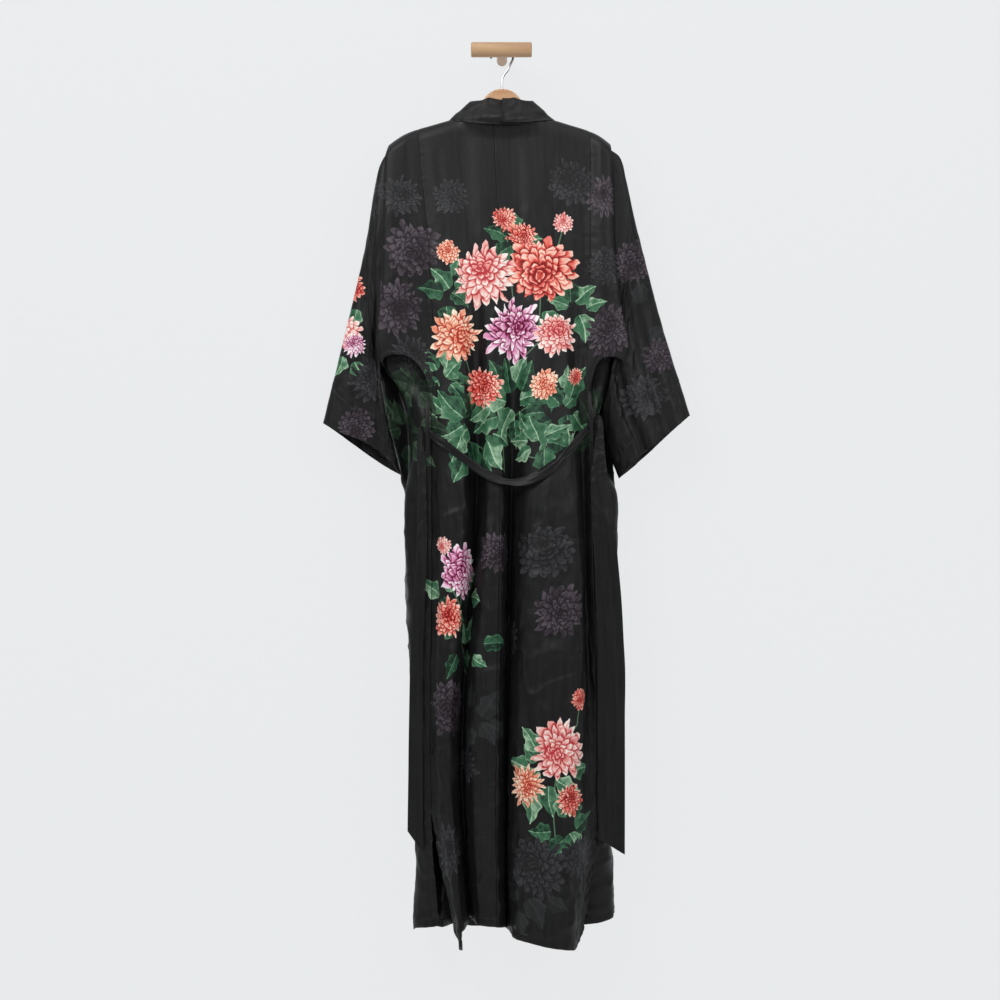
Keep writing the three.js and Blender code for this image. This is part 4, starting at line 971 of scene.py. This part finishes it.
def neckband(side):
    """Half the band: round the neck from the centre back, then down the front edge to the hem."""
    fs = np.linspace(SEAM_L, SEAM_R, 3000)
    q_back = np.linspace(0, 1, 70)[:-1]
    seat_back = top_edge(np.interp(side * lerp(0.1, NECK_HALF, q_back), ring(fs, NECK_Z)[..., 0], fs))
    rows = levels(5.0)
    seat = np.concatenate([seat_back, body(EDGES[side], rows)[0]])
    knots = np.concatenate([[0, 0.14, 0.32, 0.62, 1, 2], level_of(np.array(
        [-330, -430, -490, -545, -580, -610, -650, -690, -725, -756, -825, -910, -1000, -1100, -1200,
         SLIT_Z, -1350, -1415, HEM_Z]))])
    last = len(knots) - 1.0
    q = np.concatenate([q_back, 1 + np.interp(rows, knots, np.arange(len(knots))) / last])
    up_back, up_side, flat_way = np.array([[0, 0.42, 0.9], [0.75, 0, 0.66], [1, 0, 0]])
    turn = smooth((q - 1) * last / 6)[:, None]
    way = np.where((q < 1)[:, None], lerp(up_back, up_side, smooth(q)[:, None]),
                   lerp(up_side, flat_way, turn))
    way = way / np.linalg.norm(way, axis=1, keepdims=True)
    way[:, 0] *= -side
    w = np.array([0, 0.02, 0.06, 0.12, 0.2, 0.3, 0.4, 0.5, 0.6, 0.7, 0.8, 0.87, 0.92, 0.95, 0.975, 0.99, 1])
    run = np.concatenate([[0], np.cumsum(np.linalg.norm(np.diff(seat, axis=0), axis=1))])
    across, run = np.meshgrid(w * BAND_WIDTH, run)
    offset = lerp(1.0, 0.7, smooth(8 * q - 7))[:, None] + across
    p = seat[:, None] + way[:, None] * offset[..., None]
    relief = (rumple(run / 34, across / 45, 141 + side) * 0.5
              + 0.7 * noise(run / 7, across / 60, 149) * fade(across, 9)
              + 0.25 * noise(run / 9, across / 50, 151) * fade(BAND_WIDTH - across, 8))
    back_part = smooth((NECK_HALF + 30 - run) / 60)
    roll = 7.4 * smooth(across / 10) * (1 - 0.9 * smooth((across - 12) / 24)) - 2.2
    folds = 2.4 * rumple(run / 44 + across / 40, across / 9 - run / 60, 157)
    relief += back_part * (roll * (0.75 + 0.5 * noise(run / 24, across * 0, 153))
                           + folds * smooth(across / 10) - 0.6 * bell(run, 1.5))
    thick = 2.0 * np.sqrt(np.clip(1 - np.clip((w - 0.9) / 0.105, 0, 1) ** 2, 0.05, 1))
    # the first flat coordinate runs across the band and the second along it, so that rows go down the grid
    return shell(f"neckband_{WORDS[side]}", moved_out(p, relief, outward=1), grid(across, -run), thick,
                 grid(across - 2.5, run))


def column_curve(rows, t):
    last = len(rows["x"]) - 1
    i = np.minimum(t.astype(int), last - 1)
    a, b = np.maximum(i - 1, 0), np.minimum(i + 2, last)
    return {c: hermite(v[i], v[i + 1], (v[i + 1] - v[a]) / 2, (v[b] - v[i]) / 2, t - i)
            for c, v in rows.items()}


def outermost(x, z, span):
    """How far out the smooth cloth comes within span of x, at height z."""
    p = ring(np.arange(NEAR_L, NEAR_R, 0.04), z)
    near = np.abs(p[..., 0] - x) <= span
    return min(0, p[near, 1].min()) if near.any() else 0


def real_outermost(x, z, span):
    """The same on the finished cloth."""
    near = (np.abs(CLOTH_POINTS[:, 0] - x) <= span) & (np.abs(CLOTH_POINTS[:, 2] - z) <= 5)
    return CLOTH_POINTS[near, 1].min() if near.any() else 0


LOOP_OFF, LOOP_WIDTH = 1.75, 6  # from the smooth cloth to the middle of the loop's wall
BELT_OFF = 2.7


def strip_grid(columns, rows, end):
    """Places across a strip, from -0.5 to 0.5, and along it, from 0 to end."""
    return np.meshgrid(np.linspace(-0.5, 0.5, columns), np.linspace(0, end, rows))


def rounded(w, wall, power, least):
    """The wall of a strip with rounded edges."""
    return wall * np.sqrt(np.clip(1 - (np.abs(w) / 0.505) ** power, least, 1))


def belt_back():
    rows = dict(BELT_BACK)
    rows["y"] = np.array([outermost(x, z, span) - BELT_OFF - width * roll / 200
                          for x, z, width, roll, span in zip(*BELT_BACK.values())])
    w, t = strip_grid(17, 220, len(rows["x"]) - 1)
    at = column_curve(rows, t)
    roll = np.radians(at["roll"])
    width = at["width"] * (0.95 + 0.14 * noise(t * 2.1, t * 0, 161))
    run, across = t * 36, w * width
    pinch = smooth((at["x"] - 40) / 60) * 1.2 + smooth((-60 - at["x"]) / 50) * 1.0 + 0.5
    fold = pinch * (1.5 * noise(across / 5 + run / 46, run / 34, 163)
                    + 0.8 * noise(across / 3, run / 12, 167))
    p = grid(at["x"], at["y"] - across * np.sin(roll) - np.abs(fold), at["z"] - across * np.cos(roll))
    return shell("belt_back", p, grid(across, run), rounded(w, 1.8, 6, 0.1),
                 grid(across + width / 2 - 1.5, run))


def belt_tail(side):
    rows = dict(BELT_TAILS[side])
    rows["y"] = np.array([outermost(x, z, width / 2) - BELT_OFF - off
                          for x, z, width, _, off in zip(*BELT_TAILS[side].values())])
    w, t = strip_grid(21, 230, len(rows["x"]) - 1)
    at = column_curve(rows, t)
    run = t * 140
    neat = np.sqrt(np.clip(1 - np.clip(1 - t / 0.5, 0, 1) ** 2, 0.08, 1))
    across = w * (at["width"] * neat * (1 + 0.05 * noise(t * 2.3, t * 0, 169 + side)))
    clear = np.array([real_outermost(x, z, width / 2 + 2) - 1.6
                      for x, z, width in zip(*(at[c][:, 0] for c in ("x", "z", "width")))])
    clear = np.array([clear[max(0, k - 3):k + 4].min() for k in range(len(clear))])
    clear = np.convolve(np.pad(clear, 6, "edge"), np.ones(13) / 13, "valid")
    fold = 1.2 * rumple(across / 16 + run / 200, run / 90, 171 + side) + 1.3 * (
        creased(across / 26 - run / 60, run / 46 + across / 60, 173) - 0.3)
    fold = fold + smooth(1.6 - t) * 2.4 * noise(across / 4.5 + run / 60, run / 70, 177)
    y = np.minimum(at["y"], clear[:, None]) + 4 * w ** 2 - np.abs(fold) * 0.9
    p = grid(at["x"] + across, y, at["z"] - w * at["slant"])
    return shell(f"belt_tail_{WORDS[side]}", p, grid(across, -run), rounded(w, 1.5, 10, 0.15),
                 grid(across + at["width"] / 2 - 1.5, run))


def belt_loop(side):
    top, low, away, standoff = LOOPS[side]
    w, t = strip_grid(7, 60, 1)
    z = lerp(top, low, t)
    seam_x = ring(SEAMS[side], z)[..., 0]
    x = seam_x + side * away + w * LOOP_WIDTH
    y = np.array([[min(outermost(xx + d, zz, 1.5) for xx in (row[0], row[-1]) for d in (-3, 3))]
                  for row, zz in zip(x, z[:, 0])])
    y = y - LOOP_OFF - standoff * np.sin(np.pi * t) ** 0.7
    return shell(f"belt_loop_{WORDS[side]}", grid(x, y, z), grid(x - seam_x, z), rounded(w, 1.3, 6, 0.1),
                 grid(w * LOOP_WIDTH + 2.2, z))


for side, word in WORDS.items():
    back(side)
    side_back(side)
    front(side)
    sleeve(f"sleeve_{word}", side, 0, CUFF_SEAM + 0.003, 120)
    sleeve(f"cuff_{word}", side, CUFF_SEAM - 0.001, 1, 26)
    neckband(side)
CLOTH_POINTS = np.concatenate(body_points)
loops = {side: belt_loop(side) for side in WORDS}
tails = {side: belt_tail(side) for side in WORDS}
strap = belt_back()


def dress(node, material):
    nodes[node].data.materials.clear()
    nodes[node].data.materials.append(material)


dress("hanger", wood("hanger_wood", srgb(214, 170, 130), srgb(176, 124, 82), 30.0, 0.4))
peg_wood = wood("peg_wood", srgb(196, 160, 122), srgb(160, 122, 86), 26.0, 0.5)
dress("peg_crossbar", peg_wood)
dress("peg_stem", peg_wood)
dress("hook", wire_metal("hook_wire"))

# ---- room, light and camera
def plane(name, corners, colour, glow):
    mesh = bpy.data.meshes.new(name)
    mesh.from_pydata(corners, [], [(0, 1, 2, 3)])
    net = Net(name)
    mesh.materials.append(net.finish((*(c * 0.07 for c in colour), 1), 1.0, more={
        "Specular IOR Level": 0.0, "Emission Color": (*colour, 1), "Emission Strength": glow}))
    linked(name, mesh)


WALL_Y, FLOOR_Z = 0.001, -1.8
foot = [(-4, WALL_Y, FLOOR_Z), (4, WALL_Y, FLOOR_Z)]
plane("wall", [*foot, (4, WALL_Y, 1.6), (-4, WALL_Y, 1.6)], srgb(234, 236, 237), 0.93)
plane("floor", [(-4, -5, FLOOR_Z), (4, -5, FLOOR_Z), *foot[::-1]], srgb(226, 227, 228), 0.8)


def area_light(name, place, aim, size, power):
    data = bpy.data.lights.new(name, "AREA")
    data.shape, (data.size, data.size_y), data.energy = "RECTANGLE", size, power
    light = linked(name, data)
    light.location = place
    x, y, z = np.array(aim, float) - np.array(place, float)
    light.rotation_euler = (math.atan2(math.hypot(x, y), -z), 0, math.atan2(x, -y) + math.pi)


area_light("key", (-1.35, -2.4, 1.2), (0, 0, -0.5), (1.5, 1.5), 50)
area_light("fill", (1.9, -2.4, 0.7), (0, 0, -0.6), (1.6, 1.6), 25)
area_light("top", (0, -1.0, 1.5), (0, -0.1, -0.5), (2.4, 1.2), 14)
world = bpy.data.worlds.new("studio")
world.use_nodes = True
colour, strength = world.node_tree.nodes["Background"].inputs[:2]
colour.default_value, strength.default_value = (0.93, 0.96, 1, 1), 0.2
scene.world = world
scene.view_settings.view_transform = "Standard"

camera = linked("camera", bpy.data.cameras.new("camera"))
camera.location = (-0.0034, -3.58, -0.763)
camera.rotation_euler = (math.pi / 2, 0, 0)
camera.data.lens = 74.1
camera.data.sensor_width = 36
scene.camera = camera
